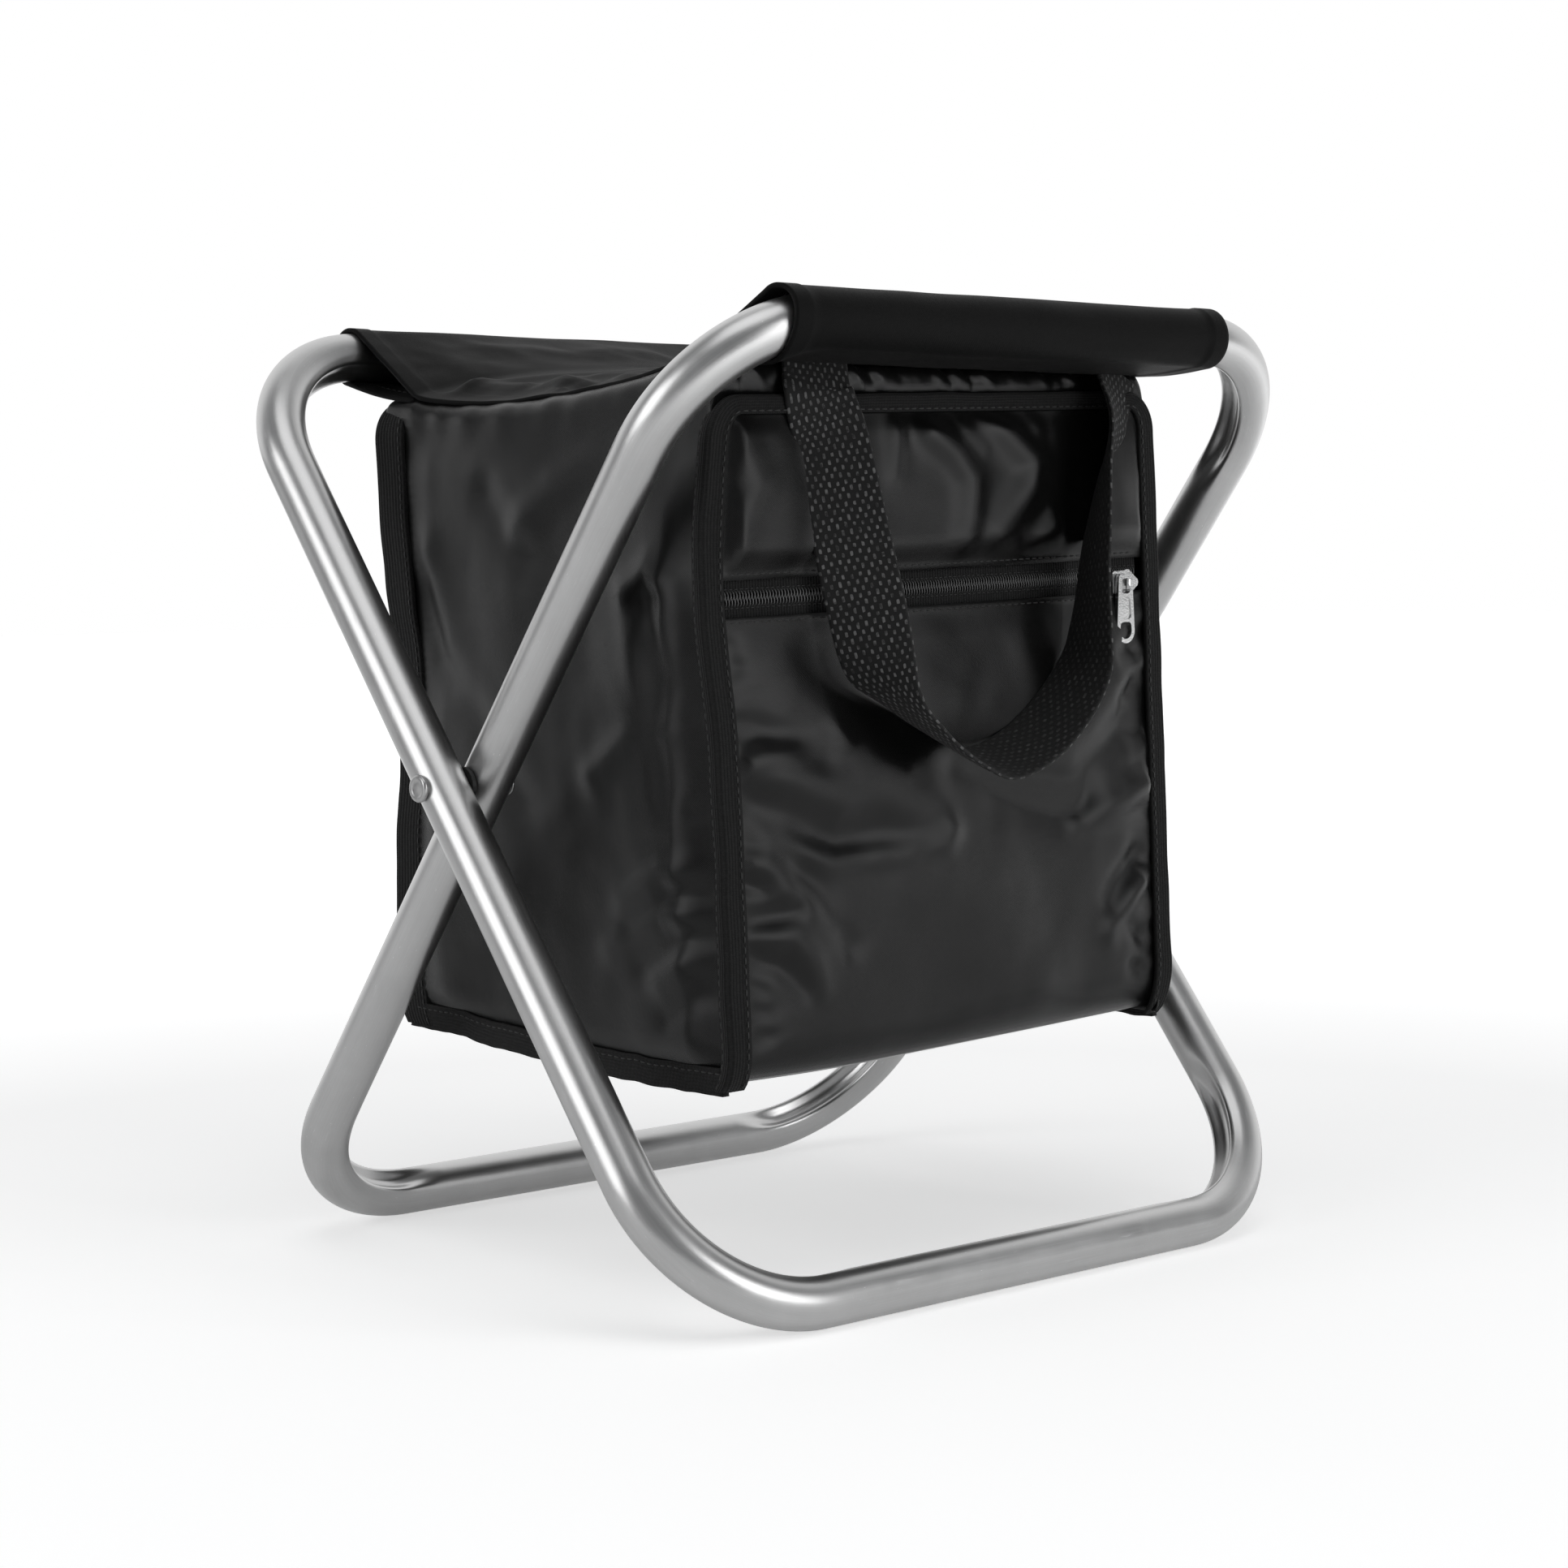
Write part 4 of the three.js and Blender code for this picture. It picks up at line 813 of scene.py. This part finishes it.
lower, lower_grid = panel("front_lower", BAG_BOTTOM, ZIP_LOW, -1, FRONT_FOLDS, "front_panel_lower",
                          lambda x, z, h: zip_edge(x, z, turn_under(x, z, h)))
upper, upper_grid = panel("front_upper", ZIP_HIGH, PANEL_TOP, -1, UPPER_FOLDS, "front_panel_upper",
                          zip_edge, BAG_CORNER)
back = panel("back", BAG_BOTTOM, PANEL_TOP, 1, BACK_FOLDS, "back_panel", turn_under, BAG_CORNER)[0]
for piece, body, flat in ((lower, "bag_front", (0.234, 0.18)), (upper, "bag_front", (0.234, 0.064)),
                          (back, "bag_back", (0.234, 0.252))):
    press(piece, body)


def roof_height(x, y):
    """The bag's top: it follows the seat between the seams and comes down to the bindings at both ends."""
    share = np.clip((y + lean_at(BAG_TOP)) / SEAM_Y, -1, 1)
    under_seat = seat_edge(share) - 2.9 + 2.7 * ramp(np.abs(x), 88, 106)
    end = np.where(y < 0, ROOF_TOP - 0.6 + SKEW * x, ROOF_TOP + 4 + 0 * x)
    out = np.clip((np.abs(y) - (SHELL_REACH - 11)) / 11, 0, 1)
    return end + (under_seat - end) * (1 - out ** 6) ** (1 / 6)


def shell_grid():
    """Upright places on the shell, and for each which part it is: 0 wall, 1 corner, 2 top."""
    side, radius = BAG_HALF - 0.5, BAG_CORNER - 0.5
    springing = ROOF_TOP - BAG_CORNER + 0.3
    wall = [(side, z, 0.0) for z in np.linspace(BAG_BOTTOM, springing, 104)[:-1]]
    corner = [(side - radius + radius * math.cos(a) ** 0.6, radius * (math.sin(a) ** 0.6 - 1), 1.0)
              for a in np.linspace(0, math.pi / 2, 19)[:-1]]
    half = wall + corner + [(x, 0.0, 2.0) for x in np.linspace(side - radius, 0, 62)]
    section = np.array([(-x, z, k) for x, z, k in half] + half[:-1][::-1])
    close = 1.6 * np.linspace(0, 1, 14) ** 1.5
    ys = np.concatenate([close - SHELL_REACH, np.linspace(1.6 - SHELL_REACH, -66, 34)[1:],
                         np.linspace(-66, 58, 48)[1:-1], np.linspace(58, SHELL_REACH - 1.6, 34)[:-1],
                         SHELL_REACH - close[::-1]])
    x, y = np.meshgrid(section[:, 0], ys)
    drop, part = (np.meshgrid(section[:, k], ys)[0] for k in (1, 2))
    roof = roof_height(x, y)
    # The walls reach up to where the roof starts, which differs from front to back
    foot = np.where(part == 0, drop, 0)
    top_of_wall = roof[:, len(wall):len(wall) + 1] - radius
    raised = (foot - BAG_BOTTOM) / (springing - BAG_BOTTOM) * (top_of_wall - BAG_BOTTOM) + BAG_BOTTOM
    z = np.where(part == 0, foot + (raised - foot) * ramp(foot, 200, springing), roof + drop)
    return x, y, z, part


def build_shell():
    """One cloth goes up the left side, over the top and down the right side, between the two bindings."""
    x, y, z, part = shell_grid()
    grid = np.stack([x, y, z], axis=2)
    normals = grid_normals(grid)
    outwards = np.stack([x * 0.2, 0 * y, (part > 0) * 60.0 + 1], axis=2)
    normals *= np.sign((normals * outwards).sum(axis=2, keepdims=True))
    from_seam = SHELL_REACH - np.abs(y)
    right_folds = [(h, w, [(-0.9 * a, b + 6) for a, b in line]) for h, w, line in SIDE_FOLDS]
    folds = np.where(x < 0, creases(y, z, SIDE_FOLDS), creases(y, z, right_folds))
    rim = smooth(from_seam / np.where(y > 0, 34, 20)) * smooth((z - BAG_BOTTOM) / 16)
    on_wall = 1 - ramp(z, ROOF_TOP - 26, ROOF_TOP - 7)
    height = on_wall * rim * (1.5 * folds + 2.2 + 0.5 * wander(grid, 36, 21))
    gathers = 0.5 * np.exp(-from_seam / 6) * wander(grid * [1, 0.2, 1], 6, 23)
    height += on_wall * (0.15 * wander(grid, 13, 22) + gathers)
    # The cloth over the corners is drawn up to the hem of the seat in short folds
    near_hem = np.exp(-((z - ROOF_TOP + 4) / 9) ** 2) * (part < 2)
    height += near_hem * 0.5 * wander(grid * [1, 1, 0.35], 12, 24)
    # Puckers run down the strips from the seat's seams to the bindings
    strip = ramp(np.abs(y + 2), SEAM_Y - 6, SEAM_Y + 3) * (part == 2)
    slant = x + 0.85 * (z - 334) + 3.4 * np.sin(x / 21) + 1.5 * np.sin(x / 7.3)
    puckers = np.cos(slant * 2 * math.pi / 15) + 0.4 * np.cos(slant * 2 * math.pi / 6.3 + 1)
    puckers *= 0.65 + 0.5 * np.sin(slant / 9.7) - 0.45 * ramp(x, 34, 70)
    height += strip * (0.85 * puckers + 0.25 * wander(grid, 8, 25)) * smooth((z - ROOF_TOP - 0.5) / 3)
    # Between the strips the top lies close under the seat
    height += (part == 2) * (1 - strip) * -0.4
    under = np.clip((BAG_BOTTOM + 6 - z) / 6, 0, 1)
    grid = grid + normals * (np.maximum(height, -1.4) * (1 - under))[..., None]
    # The sides curve in towards their seams, further at the back
    inwards = (1.5 * np.exp(-(SHELL_REACH + y) / 8) + 0.8 * np.exp(-(SHELL_REACH - y) / 9)) * on_wall
    grid[..., 0] -= np.sign(x) * (2.5 * under ** 2 + inwards)
    level = grid[..., 2].copy()
    grid = hang(grid)
    # The top keeps to the seat, whatever the walls do
    keep = ramp(level, ROOF_TOP - 30, ROOF_TOP - 8)
    grid[..., 2] += (level - grid[..., 2]) * keep
    shell = cloth("side_and_top", grid[::-1], CLOTH_THICK, CLOTH)
    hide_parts("bag_top", "gusset_left", "gusset_right")
    press(shell, "bag")


build_shell()


def build_bottom():
    s, t = np.meshgrid(np.linspace(-1, 1, 70), np.linspace(-1, 1, 60))
    x = s * (BAG_HALF - 1.6)
    y = t * (BAG_DEPTH / 2 + 0.6 - ROLL * roll_radius(x))
    places = np.stack([x, y, 0 * x], axis=2)
    z = BAG_BOTTOM + 0.6 - 1.2 * (1 - s ** 2) * (1 - t ** 2) + 0.5 * wander(places, 30, 41)
    grid = hang(np.stack([x, y, z], axis=2))
    obj = cloth("bottom", grid[:, ::-1], CLOTH_THICK, CLOTH)
    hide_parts("bag_bottom")
    press(obj, "bag")


build_bottom()


def foam(name, low, high, node, body="bag"):
    """A lined foam board with soft edges, that rides with the bag."""
    low, high = np.array(low, float), np.array(high, float)
    middle, half = (low + high) / 2, (high - low) / 2
    points, faces = [], []
    steps = 9
    for axis in range(3):
        for sign in (-1, 1):
            a, b = [k for k in range(3) if k != axis]
            start = len(points)
            for u in np.linspace(-1, 1, steps):
                for v in np.linspace(-1, 1, steps):
                    p = np.zeros(3)
                    p[axis], p[a], p[b] = sign, u, v
                    points.append(middle + half * p)
            faces += quads(steps, steps, start, flip=(sign > 0) != (axis == 1))
    obj = new_object(name, hang(points), faces, LINING, [(p[0] + p[1], p[2]) for p in points])
    weld = obj.modifiers.new("weld", "WELD")
    weld.merge_threshold = 0.0001
    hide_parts(node)
    press(obj, body)


FOAM, FOAM_REACH, FOAM_SIDE, FOAM_FACE = 3.5, 84, 110, 95
FOAM_LOW, FOAM_HIGH = 97, 317
for name, near, far in (("left", -FOAM_SIDE, -FOAM_SIDE + FOAM), ("right", FOAM_SIDE - FOAM, FOAM_SIDE)):
    foam("foam_" + name, (near, -FOAM_REACH, FOAM_LOW), (far, FOAM_REACH, FOAM_HIGH), "insulation_" + name)
foam("foam_bottom", (-106, -FOAM_REACH, 93), (106, FOAM_REACH, 93 + FOAM), "insulation_bottom")
foam("foam_top", (-102, -FOAM_REACH + 3, 321), (102, FOAM_REACH - 3, 321 + FOAM), "insulation_top")
for name, face, half, low, high in (("front_lower", -1, 104, 108, 243),
                                    ("front_upper", -1, 102, 272, FOAM_HIGH),
                                    ("back", 1, 104, 108, FOAM_HIGH)):
    near, far = sorted((face * FOAM_FACE, face * (FOAM_FACE + FOAM)))
    foam("foam_" + name, (-half, near, low), (half, far, high), "insulation_" + name,
         "bag_front" if face < 0 else "bag_back")


# Bindings

def binding_section(leg, width, lean):
    """Cross-section of the tape over a corner seam, as (outwards, back). On the side it reaches back by leg."""
    thick, corner = BINDING_THICK, 2.2

    def rib(t):
        return 0.1 * math.cos(t * math.pi * 13)

    def slope(t):
        return width - lean * leg * t ** 1.5

    out = [(width * t, -thick - rib(t)) for t in np.linspace(0, 1 - corner / width, 15)]
    for angle in np.linspace(0, math.pi / 2, 8)[1:]:
        out.append((width - corner + corner * math.sin(angle), -thick + corner * (1 - math.cos(angle))))
    out += [(slope(t) + rib(t) - 0.1, corner - thick + leg * t) for t in np.linspace(0, 1, 15)[1:]]
    out += [(slope(t) - thick, corner - thick + leg * t) for t in np.linspace(1, 0, 9)]
    out += [((width - thick - 0.6) * t, 0.1) for t in np.linspace(1, 0, 7)]
    return np.array(out)


def binding_path():
    """Up one side of a panel, across its top and down again: (x, z) of the inner edge, and outwards from it."""
    side, radius = BAG_HALF + BINDING_OUT, BAG_CORNER + BINDING_OUT
    x0, z0 = side - radius, BAG_TOP - radius
    spots = [(-side + BINDING_WIDTH, z, -1.0, 0.0) for z in np.linspace(BAG_BOTTOM - 1.5, z0, 96)[:-1]]
    for a in np.linspace(0, math.pi / 2, 22):
        across, upwards = radius - BINDING_WIDTH, radius - TOP_BINDING_WIDTH
        inner = np.array([-x0 - across * math.cos(a), z0 + upwards * math.sin(a)])
        outer = np.array([-x0 - radius * math.cos(a), z0 + radius * math.sin(a)])
        spots.append((*inner, *((outer - inner) / BINDING_WIDTH)))
    top = BAG_TOP - TOP_BINDING_WIDTH
    spots += [(x, top, 0.0, TOP_BINDING_WIDTH / BINDING_WIDTH) for x in np.linspace(-x0, 0, 46)[1:]]
    return np.array(spots + [(-x, z, -dx, dz) for x, z, dx, dz in spots[:-1][::-1]])


def binding(name, face, node, body):
    """The tape over a panel's edge. Along the sides it reaches back further on the back panel."""
    side_leg, top_leg, lean = (5, 4, 0.28) if face < 0 else (15, 4, 0.1)
    path = binding_path()
    rings, stitch_line, stitch_normals, leg_line, leg_normals = [], [], [], [], []
    for (x, z, ox, oz), s in zip(path, run_lengths(path[:, :2])):
        on_side = abs(ox) / math.hypot(ox, oz)
        wave = 1.1 * noise.noise(Vector((s / 31, face * 3.1, 0))) + 0.5 * noise.noise(Vector((s / 11, face, 5)))
        spread = 0.7 * noise.noise(Vector((s / 24, face, 9)))
        leg = side_leg * on_side + top_leg * (1 - on_side) + wave
        section = binding_section(leg, BINDING_WIDTH + spread, lean)
        base_y = face * (BAG_DEPTH / 2 + 0.7 + 0.35 * wave)
        # The ends turn in under the corners
        roll = roll_radius(x)
        down = min(max(BAG_BOTTOM + roll - z, 0) / (roll + 3), 1)
        base_y -= face * 0.7 * ROLL * roll * (1 - math.sqrt(1 - down ** 2))
        share = section[:, 0]
        rings.append(np.stack([x + ox * share, base_y - face * section[:, 1], z + oz * share], axis=1))
        stitch_line.append([x + ox * 1.6, base_y + face * 1.6, z + oz * 1.6])
        stitch_normals.append([0, face, 0])
        leg_line.append([x + ox * (10.1 + spread - lean * 0.75 * leg), base_y - face * (leg - 1), z + oz * 9.9])
        leg_normals.append([ox, 0, oz])
    rings = hang(rings)
    obj = swept(name, rings if face > 0 else rings[:, ::-1], TAPE)
    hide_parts(node)
    press(obj, body)
    for row, line, normals in (("", stitch_line, stitch_normals), ("_side", leg_line, leg_normals)):
        sewn = stitches(name + row + "_stitches", hang(line), normals, TAPE_THREAD, 2.8, 1.0, 0.3)
        press(sewn, body)


binding("front_binding", -1, "binding_front", "bag_front")
binding("back_binding", 1, "binding_back", "bag_back")


def bottom_binding(side, sign):
    """Tape folded over the lower edge of a side."""
    rings, line = [], []
    reach = BAG_DEPTH / 2 - 0.5 - 0.35 * ROLL * roll_radius(sign * BAG_HALF)
    for y in np.linspace(-reach, reach, 80):
        sag = 1.2 * noise.noise(Vector((y / 26, sign, 0))) + 0.6 * noise.noise(Vector((y / 9, sign, 3)))
        top = BAG_BOTTOM + 7
        outer = [(BAG_HALF + 2.2 + 0.1 * math.cos(t * 44), t) for t in np.linspace(0, 1, 15)]
        inner = [(BAG_HALF + 0.2 - t, t) for t in np.linspace(1, 0, 7)]
        rings.append([[sign * out, y, top - BINDING_WIDTH * t + sag] for out, t in outer + inner])
        line.append([sign * (BAG_HALF + 2.3), y, top - 2 + sag])
    rings = hang(rings)
    obj = swept("side_binding_" + side, rings if sign < 0 else rings[:, ::-1], TAPE)
    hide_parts("binding_bottom_" + side)
    press(obj, "bag")
    sewn = stitches("side_binding_stitches_" + side, hang(line), [[sign, 0, 0]] * len(line), TAPE_THREAD)
    press(sewn, "bag")


bottom_binding("left", -1)
bottom_binding("right", 1)


# Zip

def coil_points(x, y, sign):
    """One tooth of the zip, on the row above or below: seven rings of six points."""
    for t in np.linspace(0, 1, 7):
        out = 0.35 + 0.85 * math.sin(math.pi * min(t * 1.05, 1)) ** 0.6
        size = 0.36 * (0.75 + 0.5 * math.exp(-((t - 0.85) / 0.2) ** 2))
        for turn in np.linspace(0, 2 * math.pi, 7)[:-1]:
            yield (x + size * math.cos(turn) + sign * 0.25 * t, y - out - size * math.sin(turn),
                   ZIP_Z + sign * (2.75 - 3.3 * t))


def build_zip():
    xs = np.linspace(-ZIP_HALF, ZIP_HALF, 120)
    y = -BAG_DEPTH / 2 + 1.6
    for name, sign in (("lower", -1), ("upper", 1)):
        shares = np.linspace(0, 1, 9)[::sign]
        grid = np.array([[(x, y - 0.25 * math.exp(-((s - 0.1) / 0.1) ** 2), ZIP_Z + sign * (1.7 + 8.4 * s))
                          for x in xs] for s in shares])
        tape_piece = cloth("zip_tape_" + name + "_cloth", hang(grid)[:, ::-1], 0.7, TAPE)
        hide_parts("zip_tape_" + name)
        press(tape_piece, "bag_front")
    points, faces = [], []
    for k in range(int(2 * ZIP_HALF / COIL_PITCH)):
        for sign in (-1, 1):
            faces += tube_faces(7, 6, len(points))
            points += coil_points(-ZIP_HALF + (k + (0.5 if sign > 0 else 0)) * COIL_PITCH, y, sign)
    chain = new_object("zip_teeth", hang(points), faces, COIL)
    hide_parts("zip_coil")
    press(chain, "bag_front")
    # Rows of stitches beside the coil and along the folded edges of both panels
    for index, z in enumerate((ZIP_Z - 3.4, ZIP_Z + 3.4)):
        line = hang([(x, y - 0.55, z) for x in xs])
        sewn = stitches(f"zip_tape_stitches_{index}", line, [[0, -1, 0]] * len(xs), THREAD, 1.7, 0.8, 0.2)
        press(sewn, "bag_front")
    for index, (grid, z) in enumerate(((lower_grid, ZIP_LOW - 1.6), (upper_grid, ZIP_HIGH + 1.6))):
        row = int(np.argmin(np.abs(grid[:, grid.shape[1] // 2, 2] - z)))
        line = grid[row, 4:-4] + [0, -0.5, 0]
        sewn = stitches(f"zip_seam_stitches_{index}", line, [[0, -1, 0]] * len(line), THREAD, 2.6, 1.0, 0.3)
        press(sewn, "bag_front")


build_zip()
for node in ("zip_slider", "zip_puller"):
    paint(node, PLATING)


# Handles

# Places along a handle: across the bag, how far down and out as shares, and how far turned
HANDLE_PLACES = [
    (-70.5, 0.016, 0.27, 0.05), (-68.5, 0.065, 0.27, 0.08), (-65.5, 0.137, 0.3, 0.13),
    (-63.5, 0.343, 0.56, 0.18), (-61, 0.554, 0.82, 0.25), (-54.7, 0.766, 0.98, 0.37),
    (-38, 0.879, 1, 0.45), (-20, 0.957, 1, 0.49),
    (-3, 1, 1, 0.5), (20, 0.95, 1, 0.51), (39, 0.85, 1, 0.53), (50.5, 0.743, 1, 0.56), (54.6, 0.637, 1, 0.6),
    (59.2, 0.452, 0.95, 0.66), (69.8, 0.234, 0.75, 0.725), (79, 0.1, 0.6, 0.785), (87.5, 0.016, 0.27, 0.87),
]
LEFT_TUCK, RIGHT_TUCK = [(-68.5, 0.03), (-69, 0.03), (-69.7, 0.04)], [(89.5, 0.9), (91.5, 0.92), (93, 0.94)]
FRONT_TUCK = [(-0.07, 0.1), (-0.042, 0.14), (-0.012, 0.2)]
REAR_TUCK = [(-0.02, 0.01), (-0.012, 0.05), (-0.005, 0.13)]


def centripetal(points, per_span):
    """A smooth line through points that doesn't overshoot where they are close together, and its shares."""
    p = np.asarray(points, float)
    p = np.concatenate([[2 * p[0] - p[1]], p, [2 * p[-1] - p[-2]]])
    knots = np.concatenate([[0], np.cumsum(np.linalg.norm(np.diff(p, axis=0), axis=1) ** 0.5)])

    def mix(a, b, start, end, t):
        return (a * (end - t) + b * (t - start)) / (end - start)

    out, spots = [], []
    for i in range(1, len(p) - 2):
        near, ks = p[i - 1:i + 3], knots[i - 1:i + 3]
        for share in np.linspace(0, 1, per_span, endpoint=i == len(p) - 3):
            t = ks[1] + (ks[2] - ks[1]) * share
            a = [mix(near[k], near[k + 1], ks[k], ks[k + 1], t) for k in range(3)]
            b = [mix(a[k], a[k + 1], ks[k], ks[k + 2], t) for k in range(2)]
            out.append(mix(b[0], b[1], ks[1], ks[2], t))
            spots.append(i - 1 + share)
    return np.array(out), np.array(spots)


def handle(name, face, node, body, tuck):
    start = [(x, *place, turn) for (x, turn), place in zip(LEFT_TUCK, tuck)]
    end = [(x, *place, turn) for (x, turn), place in zip(RIGHT_TUCK, tuck[::-1])]
    table = np.array(start + HANDLE_PLACES + end)
    z = BAG_TOP + 0.8 - table[:, 1] * HANDLE_DROP
    out = BAG_DEPTH / 2 + face * lean_at(z) + table[:, 2] * HANDLE_OUT
    centre, spots = centripetal(np.stack([table[:, 0], -out, z], axis=1), 14)
    turns = np.interp(spots, np.arange(len(table)), table[:, 3])
    turn = np.convolve(np.pad(turns, 9, mode="edge"), np.ones(19) / 19, mode="valid") * math.pi
    tangent = unit(np.gradient(centre, axis=0))
    tilt = 0.4 * ramp(BAG_TOP - centre[:, 2], 10, 60)
    wide = np.stack([np.cos(turn), -np.sin(turn), -tilt * np.sin(turn)], axis=1)
    wide = unit(wide - tangent * (wide * tangent).sum(axis=1, keepdims=True))
    deep = np.cross(tangent, wide)
    edge = [(w, 1 - 0.55 * max(abs(w) - 0.93, 0) / 0.07) for w in np.linspace(-1, 1, 33)]
    section = [(w, -t) for w, t in edge] + edge[::-1]
    rings = []
    for c, w, d, s in zip(centre, wide, deep, run_lengths(centre)):
        # The soft weave cups a little across its width and wavers along it
        cup = 0.5 * math.sin(s / 37) + 0.35 * noise.noise(Vector((s / 14, face, 2)))
        rings.append([c + w * a * (WEBBING / 2) + d * (cup * (a * a - 0.4) + WEBBING_THICK / 2 * t)
                      for a, t in section])
    rings = np.array(rings)
    if face > 0:
        rings[..., :2] *= -1
    obj = swept(name, rings, WEBBING_WEAVE)
    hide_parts(node)
    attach(obj, body)


handle("front_webbing", -1, "handle_front", "handle_front", FRONT_TUCK)
handle("back_webbing", 1, "handle_back", "handle_back", REAR_TUCK)


# Floor, light and camera

ROOM_LIGHT = 0.22  # how bright the room is beside the backdrop's 1
VIEW = Vector((0.674, 0.739, 0))  # level, from the camera to the stool
BRIGHT_SIDE = Vector((0.95, -0.3, 0))  # where the floor shows brightest in what reflects it
FLOOR_HALF = 12000


def background_rays(n, straight, reflected):
    """The first value for what the camera sees straight, the second for what shows in metal and cloth."""
    path = n.add("ShaderNodeLightPath").outputs
    indirect = n.math("MAXIMUM", path["Is Glossy Ray"], path["Is Transmission Ray"])
    return n.math("MAXIMUM", n.times(path["Is Camera Ray"], straight), n.times(indirect, reflected))


n = Nodes("floor_paint")
distance = n.math("LENGTH", n.place(), kind="ShaderNodeVectorMath")
side = n.math("DOT_PRODUCT", n.place(), BRIGHT_SIDE, kind="ShaderNodeVectorMath")
shine = n.times(n.remap(distance, 0.35, 1.3, 0.2, 1.0), n.remap(side, -0.8, 0.0, 0.15, 1.0))
glow = background_rays(n, n.remap(distance, 0.5, 1.6, 0.5, 1.0), shine)
paint_colour = n.colours(n.noise(3, 2, n.place()), [(0.3, 0.86), (0.7, 0.88)])
floor_paint = n.finish(paint_colour, 0.75, Specular_IOR_Level=0.2, Emission_Color=(1, 1, 1, 1),
                       Emission_Strength=glow)
corners = [(x * FLOOR_HALF, y * FLOOR_HALF, 0) for x, y in ((-1, -1), (1, -1), (1, 1), (-1, 1))]
obj = new_object("floor", corners, [(0, 1, 2, 3)], floor_paint)

# The white backdrop stands behind the stool, where metal and glossy cloth reflect it too
world = bpy.data.worlds.new("studio")
bpy.context.scene.world = world
n = Nodes(world)
room = n.add("ShaderNodeBackground", Color=(0.97, 0.985, 1, 1), Strength=ROOM_LIGHT)
backdrop = n.tree.nodes["Background"]
n.feed(backdrop.inputs["Color"], (1, 1, 1, 1))
direction = n.add("ShaderNodeTexCoord").outputs["Generated"]
towards = n.math("DOT_PRODUCT", direction, VIEW, kind="ShaderNodeVectorMath")
behind = n.remap(towards, 0.1, 0.55, 0.0, 1.0, "SMOOTHSTEP")
mix = n.add("ShaderNodeMixShader")
for socket, value in zip(mix.inputs, (background_rays(n, 1.0, behind), room.outputs[0], backdrop.outputs[0])):
    n.feed(socket, value)
n.feed(n.tree.nodes["World Output"].inputs["Surface"], mix.outputs[0])

LIGHTS_AIM = Vector((0, 0, 0.2))
for name, place, size, power in (("front_box", (0.6, -2.15, 0.8), 1.2, 14),
                                 ("left_box", (-2.2, 0.4, 0.95), 1.4, 14),
                                 ("top_box", (-0.5, -0.6, 2.5), 1.8, 12)):
    light = bpy.data.lights.new(name, "AREA")
    light.size, light.energy = size, power
    lamp = bpy.data.objects.new(name, light)
    lamp.location = place
    lamp.rotation_euler = (LIGHTS_AIM - Vector(place)).to_track_quat("-Z", "Y").to_euler()
    bpy.context.scene.collection.objects.link(lamp)

# The camera as fitted to the photo: angles in degrees, place in mm, the rest in pixels of the photo
CAMERA_ANGLES, CAMERA_PLACE = (42.37, 3.84, -0.79), Vector((-885.2, -987.4, 268.5))
PHOTO_WIDTH, FOCAL_LENGTH, SHIFT_X, SHIFT_Y = 1932, 4078.64, -27.59, 3.15
SENSOR = 36
azimuth, elevation, roll = (math.radians(angle) for angle in CAMERA_ANGLES)
back_axis = Vector((-math.sin(azimuth) * math.cos(elevation), -math.cos(azimuth) * math.cos(elevation),
                    math.sin(elevation)))
right = (-back_axis).cross(Vector((0, 0, 1))).normalized()
up = right.cross(-back_axis)
right, up = right * math.cos(roll) + up * math.sin(roll), up * math.cos(roll) - right * math.sin(roll)
camera = bpy.data.objects.new("camera", bpy.data.cameras.new("camera"))
camera.matrix_world = Matrix((right, up, back_axis)).transposed().to_4x4()
camera.location = CAMERA_PLACE * MM
camera.data.sensor_width = SENSOR
camera.data.lens = SENSOR * FOCAL_LENGTH / PHOTO_WIDTH
camera.data.shift_x, camera.data.shift_y = SHIFT_X / PHOTO_WIDTH, SHIFT_Y / PHOTO_WIDTH
camera.data.clip_start, camera.data.clip_end = 0.05, 60
bpy.context.scene.collection.objects.link(camera)
bpy.context.scene.camera = camera
bpy.context.scene.view_settings.view_transform = "Standard"
